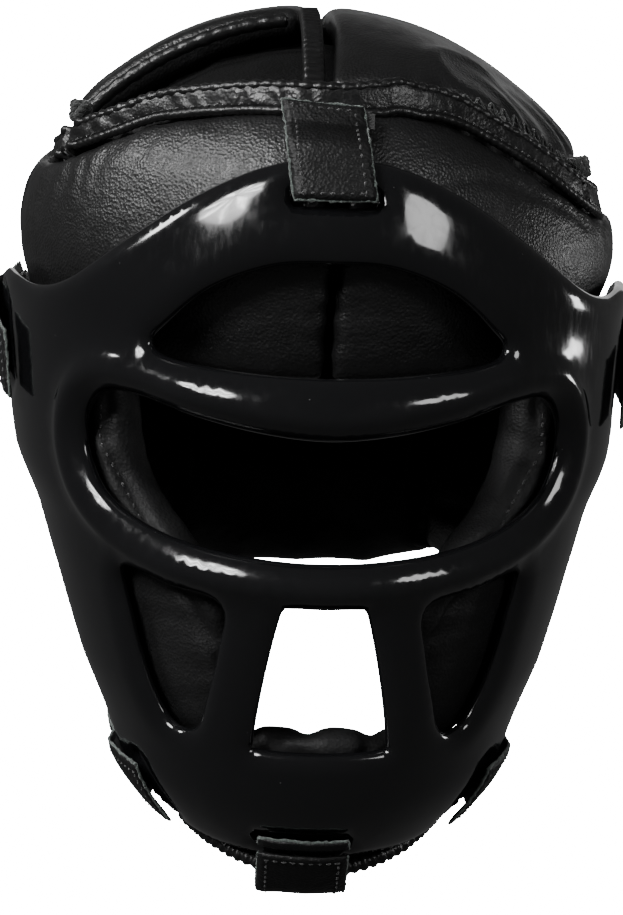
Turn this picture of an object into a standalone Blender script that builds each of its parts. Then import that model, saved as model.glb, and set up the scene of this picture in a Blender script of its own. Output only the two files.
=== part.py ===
"""Full-face boxing headgear: padded leather head guard with a removable moulded face cage.

Sizes are millimetres in a working frame whose height 0 is the lower edge of the chin cup.  Meshes are
written in metres about the middle of the head cavity, which is the origin of the part.
The wearer faces -Y, +X is the side to the right of someone who looks at the guard, +Z is up.
"""
import math

import bmesh
import bpy
import numpy as np
from mathutils import Vector
from mathutils.geometry import delaunay_2d_cdt

# ---------------------------------------------------------------- driving dimensions
CAVITY_CENTRE = (0.0, 8.0, 150.0)
GAP = 0.5                     # between pieces that touch
PAD_THICKNESS = 24.0
LINING_THICKNESS = 1.6
CAGE_OUTER = 4.4              # rise of the cage skin above its middle surface
CAGE_INNER = 3.0
CAGE_ROUNDING = 8.0
EYE_RIM_HEIGHT = 3.0
PATCH_THICKNESS = 1.2
PATCH_GAP = 1.1                # hooks and loops only brush each other
TAB_THICKNESS = 2.2
STRAP_THICKNESS = 3.0
BINDING_RADIUS = 2.9
SOFT_LEAN = 0.07              # the crown sits lower on the +X side
LEAN_FROM = 185.0
LEAN_OVER = 70.0
LEAN_SHIFT = 0.8

FOREHEAD_LOW = 185.0
CROWN_TOP = 304.0
CROWN_EDGE_LIFT = -2.5
CROWN_HALF_WIDTH = 109.0
CROWN_FRONT = 101.0
CROWN_REAR = 108.0
CROWN_CENTRE_Y = 12.0
CROWN_POWER = 0.76
CROWN_THICKNESS = 15.0

# height, half width, front y, rear y, y of the widest place
PAD_LEVELS = (
    (40, 84, -96, 98, 8),
    (70, 91, -104, 112, 8),
    (105, 98, -110, 121, 8),
    (150, 103, -114, 128, 8),
    (185, 106, -116, 131, 8),
    (212, 114, -118, 131, 8),
    (230, 113, -118, 129, 8),
    (249, 107, -114, 124, 8),
    (262, 97, -108, 114, 8),
    (280, 80, -97, 98, 8),
)
CAGE_LEVELS = (
    (-6, 34, -98, 0, -52),
    (12, 52, -117, 0, -50),
    (35, 70, -131, 0, -46),
    (54, 77, -136, 0, -42),
    (75, 86, -139, 0, -36),
    (105, 94.5, -140, 0, -28),
    (127, 101, -140, 0, -22),
    (145, 109, -139, 0, -15),
    (185, 113, -136, 0, -4),
    (200, 115, -133, 0, 2),
    (215, 119, -130, 0, 7),
    (230, 116, -126, 0, 8),
    (245, 110, -121, 0, 8),
    (262, 99, -114, 0, 8),
    (280, 84, -104, 0, 8),
)
CHIN_LEVELS = (
    (-8, 48, -98, 0, -50),
    (2, 50, -105, 0, -50),
    (8, 44, -104, 0, -50),
    (14, 39, -102.5, 0, -49),
    (22, 45.5, -108.5, 0, -48),
    (35, 55.5, -117, 0, -46),
    (54, 65, -124, 0, -42),
    (70, 71, -127, 0, -38),
)

# outlines as (degrees from the front, height); the first half, mirrored across the middle
CAGE_EDGE = ((0, 262), (12, 259.5), (24, 249), (36, 232), (48, 215), (60, 208), (72, 207), (81, 205),
             (87, 196), (87.5, 166), (84, 140), (80, 115), (76, 92), (73, 66), (70, 42), (60, 22),
             (42, 14), (20, 14), (0, 14.5))
BROW_EDGE = ((0, 229), (10, 227.5), (20, 219), (28, 206), (31.5, 199), (28, 194.5), (14, 192.5), (0, 192))
EYE_EDGE = ((0, 171), (11, 172.5), (23, 176), (34, 180), (42, 179), (47, 170), (48, 157), (44, 143),
            (36, 135.5), (25, 131.5), (11, 129.5), (0, 129))
MOUTH_EDGE = ((0, 113), (7, 113), (8.8, 110.5), (12.6, 88), (16.6, 62.5), (15.4, 59.8), (0, 59.5))
CHEEK_EDGE = ((21, 112), (22.6, 95), (26.5, 77), (30, 66), (35, 61.5), (40.5, 64.5), (43.6, 79), (45, 98),
              (44.5, 117), (32, 115.5))

# degrees and height of the head guard's top edge: highest just right of the middle, low at the temples
BAND_TOP = ((-180, 250), (-130, 247), (-95, 240), (-75, 243), (-60, 254), (-45, 268), (-24, 275.5), (0, 278),
            (14, 280), (30, 276.5), (44, 265), (61, 247), (78, 240), (95, 239), (130, 246), (180, 250))
BAND_TOP_LOWEST = 238.0

TEMPLE_HEIGHT = {1: 177.0, -1: 184.0}      # middle of each temple tab: they sit unevenly

COLOURS = {
    "leather": ((0.014, 0.014, 0.015), 0.42),
    "cage": ((0.010, 0.010, 0.011), 0.16),
    "binding": ((0.016, 0.016, 0.017), 0.38),
    "tab": ((0.015, 0.015, 0.015), 0.45),
    "hook": ((0.02, 0.02, 0.02), 0.9),
    "loop": ((0.03, 0.03, 0.03), 0.95),
    "lining": ((0.02, 0.02, 0.021), 0.7),
    "cord": ((0.012, 0.012, 0.013), 0.7),
    "webbing": ((0.02, 0.02, 0.02), 0.75),
}


# ---------------------------------------------------------------- curves and surfaces
def hermite(values, position):
    """Catmull-Rom value at a fractional index of an open list."""
    index = min(int(position), len(values) - 2)
    t = position - index
    p0 = values[max(index - 1, 0)]
    p1 = values[index]
    p2 = values[index + 1]
    p3 = values[min(index + 2, len(values) - 1)]
    m1 = (p2 - p0) / 2
    m2 = (p3 - p1) / 2
    return (p1 * (2 * t ** 3 - 3 * t ** 2 + 1) + m1 * (t ** 3 - 2 * t ** 2 + t)
            + p2 * (3 * t ** 2 - 2 * t ** 3) + m2 * (t ** 3 - t ** 2))


def level_values(levels, height):
    """Half width, front, rear and centre of an oval section at a height."""
    heights = [row[0] for row in levels]
    height = min(max(height, heights[0]), heights[-1])
    position = float(np.interp(height, heights, range(len(heights))))
    return [hermite([row[column] for row in levels], position) for column in range(1, 5)]


def oval_point(levels, angle, height):
    """Point on an oval section; angle in radians, 0 at the front, positive towards +X."""
    half, front, rear, centre = level_values(levels, height)
    depth = centre - front if abs(angle) < math.pi / 2 else rear - centre
    return Vector((half * math.sin(angle), centre - depth * math.cos(angle), height))


def girth(levels, height):
    """Radius that turns an angle into a length along the section."""
    half, front, _, centre = level_values(levels, height)
    return (half + centre - front) / 2


def smooth_step(value):
    value = min(max(value, 0.0), 1.0)
    return value * value * (3 - 2 * value)


def lean(point):
    """Turn the soft crown a little towards +X, so that its +X side sits lower."""
    turn = SOFT_LEAN * smooth_step((point.z - LEAN_FROM) / LEAN_OVER)
    shift = LEAN_SHIFT * turn * max(point.z - LEAN_FROM, 0.0)
    return Vector((point.x + shift, point.y, point.z - turn * point.x))


def cage_surface(along, height):
    return oval_point(CAGE_LEVELS, along / girth(CAGE_LEVELS, height), height)


def pad_surface(along, height):
    return lean(oval_point(PAD_LEVELS, along / girth(PAD_LEVELS, height), height))


def chin_surface(along, height):
    return oval_point(CHIN_LEVELS, along / girth(CHIN_LEVELS, height), height)


def band_top(angle):
    """Height of the head guard's top edge at an angle in degrees."""
    angles, heights = zip(*BAND_TOP)
    turned = (angle + 180) % 360 - 180
    return hermite(heights, float(np.interp(turned, angles, range(len(angles)))))


def crown_surface(x, y):
    depth = CROWN_FRONT if y < CROWN_CENTRE_Y else CROWN_REAR
    radius = math.hypot(x / CROWN_HALF_WIDTH, (y - CROWN_CENTRE_Y) / depth)
    base = band_top(math.degrees(math.atan2(x, CROWN_CENTRE_Y - y))) + CROWN_EDGE_LIFT
    rise = max(1 - radius * radius, 0.0) ** CROWN_POWER
    return lean(Vector((x, y, base + (CROWN_TOP - base) * rise)))


def normal_at(surface, u, v):
    step = 0.4
    along_u = surface(u + step, v) - surface(u - step, v)
    along_v = surface(u, v + step) - surface(u, v - step)
    return along_u.cross(along_v).normalized()


def off_surface(surface, u, v, distance):
    return surface(u, v) + normal_at(surface, u, v) * distance


def unroll(levels, points):
    """(degrees, height) to (length along the section, height)."""
    return [(math.radians(angle) * girth(levels, height), height) for angle, height in points]


def mirrored(half):
    """A closed loop from a half outline that starts and ends on the middle line."""
    other = [(-u, v) for u, v in reversed(half[1:-1])]
    return list(half) + other


def flip(points):
    return [(-u, v) for u, v in points]


def smooth_loop(points, spacing):
    """Even points along a closed Catmull-Rom curve, anticlockwise."""
    count = len(points)
    fine = []
    for index in range(count):
        four = [points[(index + shift) % count] for shift in (-1, 0, 1, 2)]
        for step in range(12):
            t = step / 12
            fine.append([hermite([p[axis] for p in four], 1 + t) for axis in (0, 1)])
    fine = np.array(fine + fine[:1])
    lengths = np.concatenate(([0], np.cumsum(np.hypot(*np.diff(fine, axis=0).T))))
    number = max(int(round(lengths[-1] / spacing)), 6)
    places = np.arange(number) * lengths[-1] / number
    loop = np.stack([np.interp(places, lengths, fine[:, axis]) for axis in (0, 1)], axis=1)
    area = np.sum(loop[:, 0] * np.roll(loop[:, 1], -1) - loop[:, 1] * np.roll(loop[:, 0], -1))
    return loop if area > 0 else loop[::-1]


def straight_loop(corners, spacing, corner_cut):
    """Even points along a polygon whose corners are cut round."""
    rounded = []
    count = len(corners)
    for index in range(count):
        corner = np.array(corners[index], float)
        for other in (corners[index - 1], corners[(index + 1) % count]):
            way = np.array(other, float) - corner
            length = float(np.hypot(*way))
            rounded.append(corner + way / length * min(corner_cut, 0.4 * length))
    points = []
    total = len(rounded)
    for index in range(total):
        start = rounded[index]
        end = rounded[(index + 1) % total]
        pieces = max(int(round(float(np.hypot(*(end - start))) / spacing)), 1)
        points += [start + (end - start) * k / pieces for k in range(pieces)]
    loop = np.array(points)
    area = np.sum(loop[:, 0] * np.roll(loop[:, 1], -1) - loop[:, 1] * np.roll(loop[:, 0], -1))
    return loop if area > 0 else loop[::-1]


# ---------------------------------------------------------------- meshes
def edge_distances(points, loops):
    """Distance from each point to the nearest edge of any loop."""
    best = np.full(len(points), 1e9)
    for loop in loops:
        for start, end in zip(loop, np.roll(loop, -1, axis=0)):
            way = end - start
            t = np.clip(((points - start) @ way) / (way @ way), 0, 1)
            best = np.minimum(best, np.hypot(*(points - start - t[:, None] * way).T))
    return best


def inside(points, loops):
    """Even-odd test against all loops together."""
    count = np.zeros(len(points), int)
    for loop in loops:
        for start, end in zip(loop, np.roll(loop, -1, axis=0)):
            crosses = (start[1] > points[:, 1]) != (end[1] > points[:, 1])
            rise = end[1] - start[1] if end[1] != start[1] else 1e-9
            reach = start[0] + (points[:, 1] - start[1]) / rise * (end[0] - start[0])
            count += crosses & (points[:, 0] < reach)
    return count % 2 == 1


def fill_points(loops, insets, spacing):
    """Points inside the loops: rows beside every edge, then an even grid."""
    chosen = []
    for inset in insets:
        rows = []
        for number, loop in enumerate(loops):
            along = np.roll(loop, -1, axis=0) - np.roll(loop, 1, axis=0)
            along /= np.hypot(*along.T)[:, None]
            inward = np.stack((-along[:, 1], along[:, 0]), axis=1)
            rows.append(loop + (inward if number == 0 else -inward) * inset)
        rows = np.concatenate(rows)
        rows = rows[inside(rows, loops) & (edge_distances(rows, loops) > 0.85 * inset)]
        chosen += thin_out(rows, chosen, min(0.6 * spacing, 0.9 * inset + 1.0))
    low = loops[0].min(axis=0)
    high = loops[0].max(axis=0)
    grid = []
    row = 0
    height = low[1] + spacing / 2
    while height < high[1]:
        start = low[0] + spacing * (0.5 if row % 2 else 0.0)
        grid += [(u, height) for u in np.arange(start, high[0], spacing)]
        row += 1
        height += spacing * 0.87
    grid = np.array(grid)
    clear = insets[-1] + 0.4 * spacing
    grid = grid[inside(grid, loops)]
    grid = grid[edge_distances(grid, loops) > clear]
    chosen += thin_out(grid, chosen, 0.6 * spacing)
    return chosen


def thin_out(candidates, kept, distance):
    """Candidates that keep a distance from the kept points and from each other."""
    taken = [np.array(point) for point in kept]
    new = []
    for point in candidates:
        near = np.array(taken) if taken else np.empty((0, 2))
        if len(near) and np.min(np.hypot(*(near - point).T)) < distance:
            continue
        taken.append(np.array(point))
        new.append(np.array(point))
    return new


def flat_area(corners):
    (x0, y0), (x1, y1), (x2, y2) = corners
    return abs((x1 - x0) * (y2 - y0) - (x2 - x0) * (y1 - y0)) / 2


def round_profile(distance, rounding, rim):
    """Share of the full thickness at a distance from the edge."""
    t = min(max(distance / rounding, 0.0), 1.0)
    return rim + (1 - rim) * math.sqrt(1 - (1 - t) ** 2)


def shell_mesh(loops, surface, outer, inner, rounding, spacing, rim, insets, extra=None):
    """Closed body over an outline with holes: outer and inner skins joined by side walls."""
    fill = fill_points(loops, insets, spacing)
    points = [tuple(point) for loop in loops for point in loop] + [tuple(point) for point in fill]
    edges = []
    start = 0
    for loop in loops:
        edges += [(start + k, start + (k + 1) % len(loop)) for k in range(len(loop))]
        start += len(loop)
    flat, _, faces, _, _, _ = delaunay_2d_cdt([Vector(p) for p in points], edges, [], 0, 1e-4)
    places = np.array([tuple(p) for p in flat])
    centres = np.array([places[list(face)].mean(axis=0) for face in faces])
    kept = inside(centres, loops)
    faces = [face for face, good in zip(faces, kept) if good and flat_area(places[list(face)]) > 0.02]
    distances = edge_distances(places, loops)
    mesh = bmesh.new()
    tops = []
    bottoms = []
    for place, distance in zip(places, distances):
        share = round_profile(float(distance), rounding, rim)
        base = surface(*place)
        normal = normal_at(surface, *place)
        lift = extra(*place) if extra else 0.0
        tops.append(mesh.verts.new(base + normal * (outer * share + lift)))
        bottoms.append(mesh.verts.new(base - normal * inner * share))
    sides = {}
    for face in faces:
        for a, b in zip(face, face[1:] + face[:1]):
            sides[(a, b)] = True
    for face in faces:
        mesh.faces.new([tops[k] for k in face])
        mesh.faces.new([bottoms[k] for k in reversed(face)])
    for a, b in sides:
        if (b, a) not in sides:
            mesh.faces.new([tops[b], tops[a], bottoms[a], bottoms[b]])
    loose = [vert for vert in mesh.verts if not vert.link_faces]
    bmesh.ops.delete(mesh, geom=loose, context="VERTS")
    return mesh


def slab_mesh(surface, us, vs, low, high):
    """Closed four-sided slab between two heights over a surface."""
    mesh = bmesh.new()
    layers = []
    for offset in (high, low):
        layers.append([[mesh.verts.new(off_surface(surface, u, v, offset)) for v in vs] for u in us])
    top, bottom = layers
    for i in range(len(us) - 1):
        for j in range(len(vs) - 1):
            mesh.faces.new((top[i][j], top[i + 1][j], top[i + 1][j + 1], top[i][j + 1]))
            mesh.faces.new((bottom[i][j], bottom[i][j + 1], bottom[i + 1][j + 1], bottom[i + 1][j]))
    rim_i = [(i, 0) for i in range(len(us))] + [(len(us) - 1, j) for j in range(1, len(vs))]
    rim_i += [(i, len(vs) - 1) for i in range(len(us) - 2, -1, -1)] + [(0, j) for j in range(len(vs) - 2, 0, -1)]
    for (i, j), (k, m) in zip(rim_i, rim_i[1:] + rim_i[:1]):
        mesh.faces.new((top[i][j], bottom[i][j], bottom[k][m], top[k][m]))
    return mesh


# ---------------------------------------------------------------- scene objects
def clear_scene():
    for item in list(bpy.data.objects):
        bpy.data.objects.remove(item, do_unlink=True)


def to_world(point):
    return Vector([(point[k] - CAVITY_CENTRE[k]) * 0.001 for k in range(3)])


def material(name):
    if name in bpy.data.materials:
        return bpy.data.materials[name]
    colour, roughness = COLOURS[name]
    made = bpy.data.materials.new(name)
    made.use_nodes = True
    shader = made.node_tree.nodes["Principled BSDF"]
    shader.inputs["Base Color"].default_value = (*colour, 1)
    shader.inputs["Roughness"].default_value = roughness
    shader.inputs["Metallic"].default_value = 0.0
    return made


def own_material(node, kind):
    made = material(kind).copy()
    made.name = node
    return made


def add_object(name, data, kind, pivot):
    """Link the data with its origin on the pivot empty's place."""
    made = bpy.data.objects.new(name, data)
    bpy.context.collection.objects.link(made)
    data.materials.append(own_material(name, kind))
    if pivot is not None:
        made.parent = pivot
    return made


def add_mesh(name, mesh, kind, pivot=None, smooth=True):
    """Turn a bmesh in working millimetres into a named object in metres."""
    origin = pivot.location.copy() if pivot is not None else Vector((0, 0, 0))
    for vert in mesh.verts:
        vert.co = to_world(vert.co) - origin
    bmesh.ops.triangulate(mesh, faces=mesh.faces[:])
    bmesh.ops.recalc_face_normals(mesh, faces=mesh.faces[:])
    data = bpy.data.meshes.new(name)
    mesh.to_mesh(data)
    mesh.free()
    for polygon in data.polygons:
        polygon.use_smooth = smooth
    return add_object(name, data, kind, pivot)


def add_tube(name, points, radius, kind, pivot=None, resolution=2):
    """Round tube along points in working millimetres."""
    origin = pivot.location.copy() if pivot is not None else Vector((0, 0, 0))
    data = bpy.data.curves.new(name, "CURVE")
    data.dimensions = "3D"
    data.bevel_depth = radius * 0.001
    data.bevel_resolution = resolution
    data.use_fill_caps = True
    data.twist_mode = "MINIMUM"
    spline = data.splines.new("POLY")
    spline.points.add(len(points) - 1)
    for item, point in zip(spline.points, points):
        item.co = (*(to_world(point) - origin), 1)
    return add_object(name, data, kind, pivot)


def add_pivot(name, point):
    made = bpy.data.objects.new(name, None)
    made.location = to_world(point)
    bpy.context.collection.objects.link(made)
    return made


# ---------------------------------------------------------------- the face cage
def eye_ridge(loop):
    """Extra height of the proud rim round the eye opening."""
    def height(u, v):
        distance = float(edge_distances(np.array([[u, v]]), [loop])[0])
        return EYE_RIM_HEIGHT * math.exp(-((distance - 8.0) / 5.5) ** 2)
    return height


def slot_corners(angle, height, half_angle, half_height):
    return ((angle - half_angle, height - half_height), (angle + half_angle, height - half_height),
            (angle + half_angle, height + half_height), (angle - half_angle, height + half_height))


TOP_SLOT = slot_corners(0, 249.5, 7.6, 2.6)
CHIN_SLOT = slot_corners(-4.5, 23.5, 14.5, 2.4)
TEMPLE_SLOT_ANGLE = 77
JAW_SLOT = ((49.5, 20.5), (53.5, 20.5), (58.5, 43), (54.5, 43))


def build_cage(pivot):
    spacing = 9.5
    outline = smooth_loop(mirrored(unroll(CAGE_LEVELS, CAGE_EDGE)), spacing)
    eye = smooth_loop(mirrored(unroll(CAGE_LEVELS, EYE_EDGE)), spacing)
    loops = [outline, eye]
    loops.append(smooth_loop(mirrored(unroll(CAGE_LEVELS, BROW_EDGE)), spacing))
    loops.append(smooth_loop(mirrored(unroll(CAGE_LEVELS, MOUTH_EDGE)), spacing))
    cheek = unroll(CAGE_LEVELS, CHEEK_EDGE)
    loops.append(smooth_loop(cheek, spacing))
    loops.append(smooth_loop(flip(cheek), spacing))
    for slot in (TOP_SLOT, CHIN_SLOT):
        loops.append(straight_loop(unroll(CAGE_LEVELS, slot), 11.0, 1.2))
    for side in (1, -1):
        temple = slot_corners(side * TEMPLE_SLOT_ANGLE, TEMPLE_HEIGHT[side], 1.5, 16)
        jaw = JAW_SLOT if side > 0 else flip(JAW_SLOT)
        loops.append(straight_loop(unroll(CAGE_LEVELS, temple), 11.0, 1.2))
        loops.append(straight_loop(unroll(CAGE_LEVELS, jaw), 11.0, 1.2))
    mesh = shell_mesh(loops, cage_surface, CAGE_OUTER, CAGE_INNER, CAGE_ROUNDING, 15.0, 0.3,
                      (2.2, 7.0), eye_ridge(eye))
    add_mesh("face_cage", mesh, "cage", pivot)


# ---------------------------------------------------------------- pads and linings
def pad_middle(along, height):
    return off_surface(pad_surface, along, height, -PAD_THICKNESS / 2)


def pad_outline(angles_heights, spacing, corner):
    """Outline whose upright edges keep one angle while the girth changes with height."""
    scale = math.radians(1) * girth(PAD_LEVELS, 200)
    loop = straight_loop([(angle * scale, height) for angle, height in angles_heights], spacing, corner)
    return np.array(unroll(PAD_LEVELS, [(u / scale, v) for u, v in loop]))


def pad(name, outline, kind="leather", thickness=PAD_THICKNESS, surface=pad_middle, rounding=11.0):
    mesh = shell_mesh([outline], surface, thickness / 2, thickness / 2, rounding, 26.0, 0.25,
                      (3.0, 10.0))
    add_mesh(name, mesh, kind)


def build_forehead_pads():
    seam = 0.28
    edge = 84.0
    for side, name in ((1, "forehead_pad_right"), (-1, "forehead_pad_left")):
        top = [(angle, band_top(side * angle)) for angle in (seam, 14, 28, 42, 54, 68, edge)]
        low = [(edge, FOREHEAD_LOW + 6), (60, FOREHEAD_LOW), (30, FOREHEAD_LOW), (seam, FOREHEAD_LOW)]
        corners = [(side * angle, height) for angle, height in top + low]
        pad(name, pad_outline(corners, 17.0, 2.0))


def build_side_pads():
    for side, name in ((1, "side_pad_right"), (-1, "side_pad_left")):
        top = [(angle, band_top(side * angle) - 1) for angle in (85.4, 96, 110, 122, 134.6)]
        corners = top + [(134.6, 150), (132, 78), (112, 66), (92, 78), (85.2, 120), (85.2, 170)]
        pad(name, pad_outline([(side * angle, height) for angle, height in corners], 19.0, 6.0))


def build_rear_pad():
    half = [(180, 53), (158, 57), (137, 76), (135.4, 150)]
    half += [(angle, band_top(angle) - 1) for angle in (135.4, 160, 180)]
    full = half + [(360 - angle, height) for angle, height in reversed(half[1:-1])]
    pad("rear_pad", pad_outline(full, 19.0, 6.0))


def cheek_middle(along, height):
    return off_surface(cage_surface, along, height, -CAGE_INNER - 2.0 - 10.0)


def build_cheek_pads():
    corners = [(29, 56), (24, 84), (21.5, 112), (31, 126), (40, 140), (44, 160), (46, 184), (78, 188),
               (80.5, 150), (77, 116), (72, 90), (67, 66), (50, 56)]
    loop = unroll(CAGE_LEVELS, corners)
    for name, points in (("cheek_pad_right", loop), ("cheek_pad_left", flip(loop))):
        pad(name, straight_loop(points, 17.0, 5.0), "leather", 19.0, cheek_middle, 9.0)


def build_linings():
    depth = -PAD_THICKNESS - 1.3
    low = depth - LINING_THICKNESS
    radius = girth(PAD_LEVELS, 212)

    def inner_surface(angle_length, height):
        return lean(oval_point(PAD_LEVELS, angle_length / radius, height))

    parts = {
        "forehead_lining": ((-80, 80), (FOREHEAD_LOW + 8, BAND_TOP_LOWEST - 8)),
        "side_lining_right": ((88, 131), (96, 230)),
        "side_lining_left": ((-131, -88), (96, 230)),
        "rear_lining": ((140, 220), (92, 232)),
    }
    for name, (angles, heights) in parts.items():
        drop = 1.2 if name.startswith("side") else 0.0
        us = [math.radians(a) * radius for a in np.linspace(*angles, max(int(abs(angles[1] - angles[0]) / 10), 4))]
        vs = list(np.linspace(*heights, 5))
        mesh = slab_mesh(inner_surface, us, vs, low - drop, depth - drop)
        add_mesh(name, mesh, "lining")


# ---------------------------------------------------------------- crown
def crown_middle(x, y):
    return off_surface(crown_surface, x, y, -CROWN_THICKNESS / 2)


def crown_ring(angle, share):
    """Plan point at a share of the crown's radius; 0 degrees is the front."""
    turn = math.radians(angle)
    depth = CROWN_FRONT if abs(angle) < 90 else CROWN_REAR
    return (share * CROWN_HALF_WIDTH * math.sin(turn), CROWN_CENTRE_Y - share * depth * math.cos(turn))


def build_crown():
    rim = 0.915
    panels = {
        "crown_main_panel": [(-6, -78)] + [crown_ring(a, rim) for a in (8, 25, 45, 65, 85, 100)] + [(-6, 24)],
        "crown_left_panel": [crown_ring(-84, rim), crown_ring(-100, rim), crown_ring(-120, rim),
                             (-7.5, 62), (-7.5, 25), (-15, 3)],
        "crown_rear_panel": [crown_ring(101.5, rim), crown_ring(120, rim), crown_ring(140, rim),
                             crown_ring(160, rim), (0, 12 + rim * CROWN_REAR), crown_ring(-160, rim),
                             crown_ring(-140, rim), crown_ring(-121.5, rim), (-6, 63.6), (-6, 25.6)],
    }
    for name, corners in panels.items():
        loop = straight_loop(corners, 17.0, 2.0)
        pad(name, loop, "leather", CROWN_THICKNESS, crown_middle, 8.0)
    lining = [crown_ring(a, 0.80) for a in range(-180, 180, 20)]
    mesh = shell_mesh([straight_loop(lining, 26.0, 1.0)], crown_surface, -CROWN_THICKNESS - 1.8,
                      CROWN_THICKNESS + 1.8 + LINING_THICKNESS, 1.0, 26.0, 1.0, (3.0, 12.0))
    add_mesh("crown_lining", mesh, "lining")


def build_vent_bindings():
    us = [-15.5, -11.5, -7.5]
    vs = list(np.linspace(-78, 0, 8))
    add_mesh("vent_binding_front", slab_mesh(crown_surface, us, vs, -6.0, -1.0), "binding")
    start = Vector(crown_ring(-82, 0.90))
    end = Vector((-20, 0))
    path = []
    for step in range(12):
        x, y = start.lerp(end, step / 11)
        path.append(off_surface(crown_surface, x, y - 4.5, -5.0))
    add_tube("vent_binding_rear", path, 2.6, "binding")


def build_band_bindings():
    rolls = {"band_binding_lower": (8.0, 3.6), "band_binding_upper": (0.2, 6.6)}
    for name, (out, up) in rolls.items():
        path = []
        for angle in np.linspace(-88, 88, 27):
            height = band_top(angle)
            along = math.radians(angle) * girth(PAD_LEVELS, height)
            point = off_surface(pad_middle, along, height, out)
            path.append(point + Vector((0, 0, up)))
        add_tube(name, path, BINDING_RADIUS, "binding")


LACE_ANGLE = 70.0
LACE_OUT = 5.0
LACE_LIFT = 14.0


def build_laces():
    """A knotted cord end at each end of the band's top seam."""
    for side, name in ((1, "crown_lace_right"), (-1, "crown_lace_left")):
        height = band_top(side * LACE_ANGLE)
        along = side * math.radians(LACE_ANGLE) * girth(PAD_LEVELS, height)
        centre = off_surface(pad_middle, along, height, LACE_OUT) + Vector((0, 0, LACE_LIFT))
        path = []
        for step in range(17):
            turn = step / 16
            swirl = turn * 2.0 * 2 * math.pi
            path.append(centre + Vector((side * 4.2 * math.cos(swirl), 3.0 + 14 * turn, 4.2 * math.sin(swirl))))
        add_tube(name, path, 1.3, "cord")


# ---------------------------------------------------------------- chin
def build_chin():
    corners = [(-66, 6), (-34, 2), (0, 1), (34, 2), (66, 6), (64, 22), (58, 42), (36, 50), (0, 51),
               (-36, 50), (-58, 42), (-64, 22)]
    pad("chin_cup", straight_loop(unroll(CHIN_LEVELS, corners), 15.0, 4.0), "leather", 15.0,
        chin_surface, 7.0)
    path = []
    for angle in np.linspace(-58, 58, 19):
        height = 4.2 + 2.4 * abs(angle / 62) ** 2
        along = math.radians(angle) * girth(CHIN_LEVELS, height)
        path.append(off_surface(chin_surface, along, height, 10.9))
    add_tube("chin_cup_binding", path, 2.2, "binding")


# ---------------------------------------------------------------- tabs with their patches
PATCH_CLEAR = 0.9
HOOK_LOW = PATCH_CLEAR + PATCH_THICKNESS + PATCH_GAP
TAB_LOW = HOOK_LOW + PATCH_THICKNESS + GAP
CAGE_CLEAR = CAGE_OUTER + 0.8
JAW_STRAP_TOP = -CAGE_INNER - GAP
TOP_TAB_START = 248.0
TOP_TAB_TILT = 0.15
TEMPLE_START, TEMPLE_EDGE, TEMPLE_END = 77.5, 87.0, 99.5
JAW_START, JAW_EDGE, JAW_END = 53.0, 69.0, 88.0


def cage_at(degrees, height, distance):
    along = math.radians(degrees) * girth(CAGE_LEVELS, height)
    return off_surface(cage_surface, along, height, distance)


def pad_at(degrees, height, distance):
    along = math.radians(degrees) * girth(PAD_LEVELS, height)
    return off_surface(pad_surface, along, height, distance)


def add_patch_pair(name, surface, us, vs, pivot, kind=("loop", "hook")):
    """Loop patch on the guard and hook patch on the tab above it."""
    loop = slab_mesh(surface, us, vs, PATCH_CLEAR, PATCH_CLEAR + PATCH_THICKNESS)
    hook = slab_mesh(surface, us, vs, HOOK_LOW, HOOK_LOW + PATCH_THICKNESS)
    add_mesh(name + "_loop_patch", loop, kind[0])
    add_mesh(name + "_hook_patch", hook, kind[1], pivot)


def top_pad_surface(x, height):
    degrees = math.degrees(math.asin(x / level_values(PAD_LEVELS, height)[0]))
    return pad_at(degrees, height, 0)


def top_tab_surface(across, height):
    x = across - TOP_TAB_TILT * (height - TOP_TAB_START)
    degrees = math.degrees(math.asin(x / level_values(CAGE_LEVELS, height)[0]))
    on_cage = cage_at(degrees, height, CAGE_CLEAR)
    on_pad = off_surface(top_pad_surface, x, height, TAB_LOW)
    return on_cage.lerp(on_pad, smooth_step((height - 264.0) / 5.0))


def build_top_tab(pivot):
    """Up over the cage's top edge, on to the forehead pads."""
    us = list(np.linspace(-13.5, 13.5, 5))
    vs = [TOP_TAB_START, 253, 258, 262, 265, 267, 269, 272.5, 276]
    add_mesh("top_tab", slab_mesh(top_tab_surface, us, vs, 0, TAB_THICKNESS), "tab", pivot)
    add_patch_pair("top", top_pad_surface, list(np.linspace(-14, 8, 5)), [269.5, 272, 274.5], pivot)


def temple_tab_surface(degrees, height):
    on_cage = cage_at(degrees, height, CAGE_CLEAR)
    on_pad = pad_at(degrees, height, TAB_LOW)
    return on_cage.lerp(on_pad, smooth_step((abs(degrees) - TEMPLE_EDGE) / 5.0))


def jaw_tab_surface(degrees, height):
    low = JAW_STRAP_TOP + TAB_LOW
    share = smooth_step((abs(degrees) - JAW_EDGE) / 5.0)
    return cage_at(degrees, height, CAGE_CLEAR + (low - CAGE_CLEAR) * share)


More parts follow.
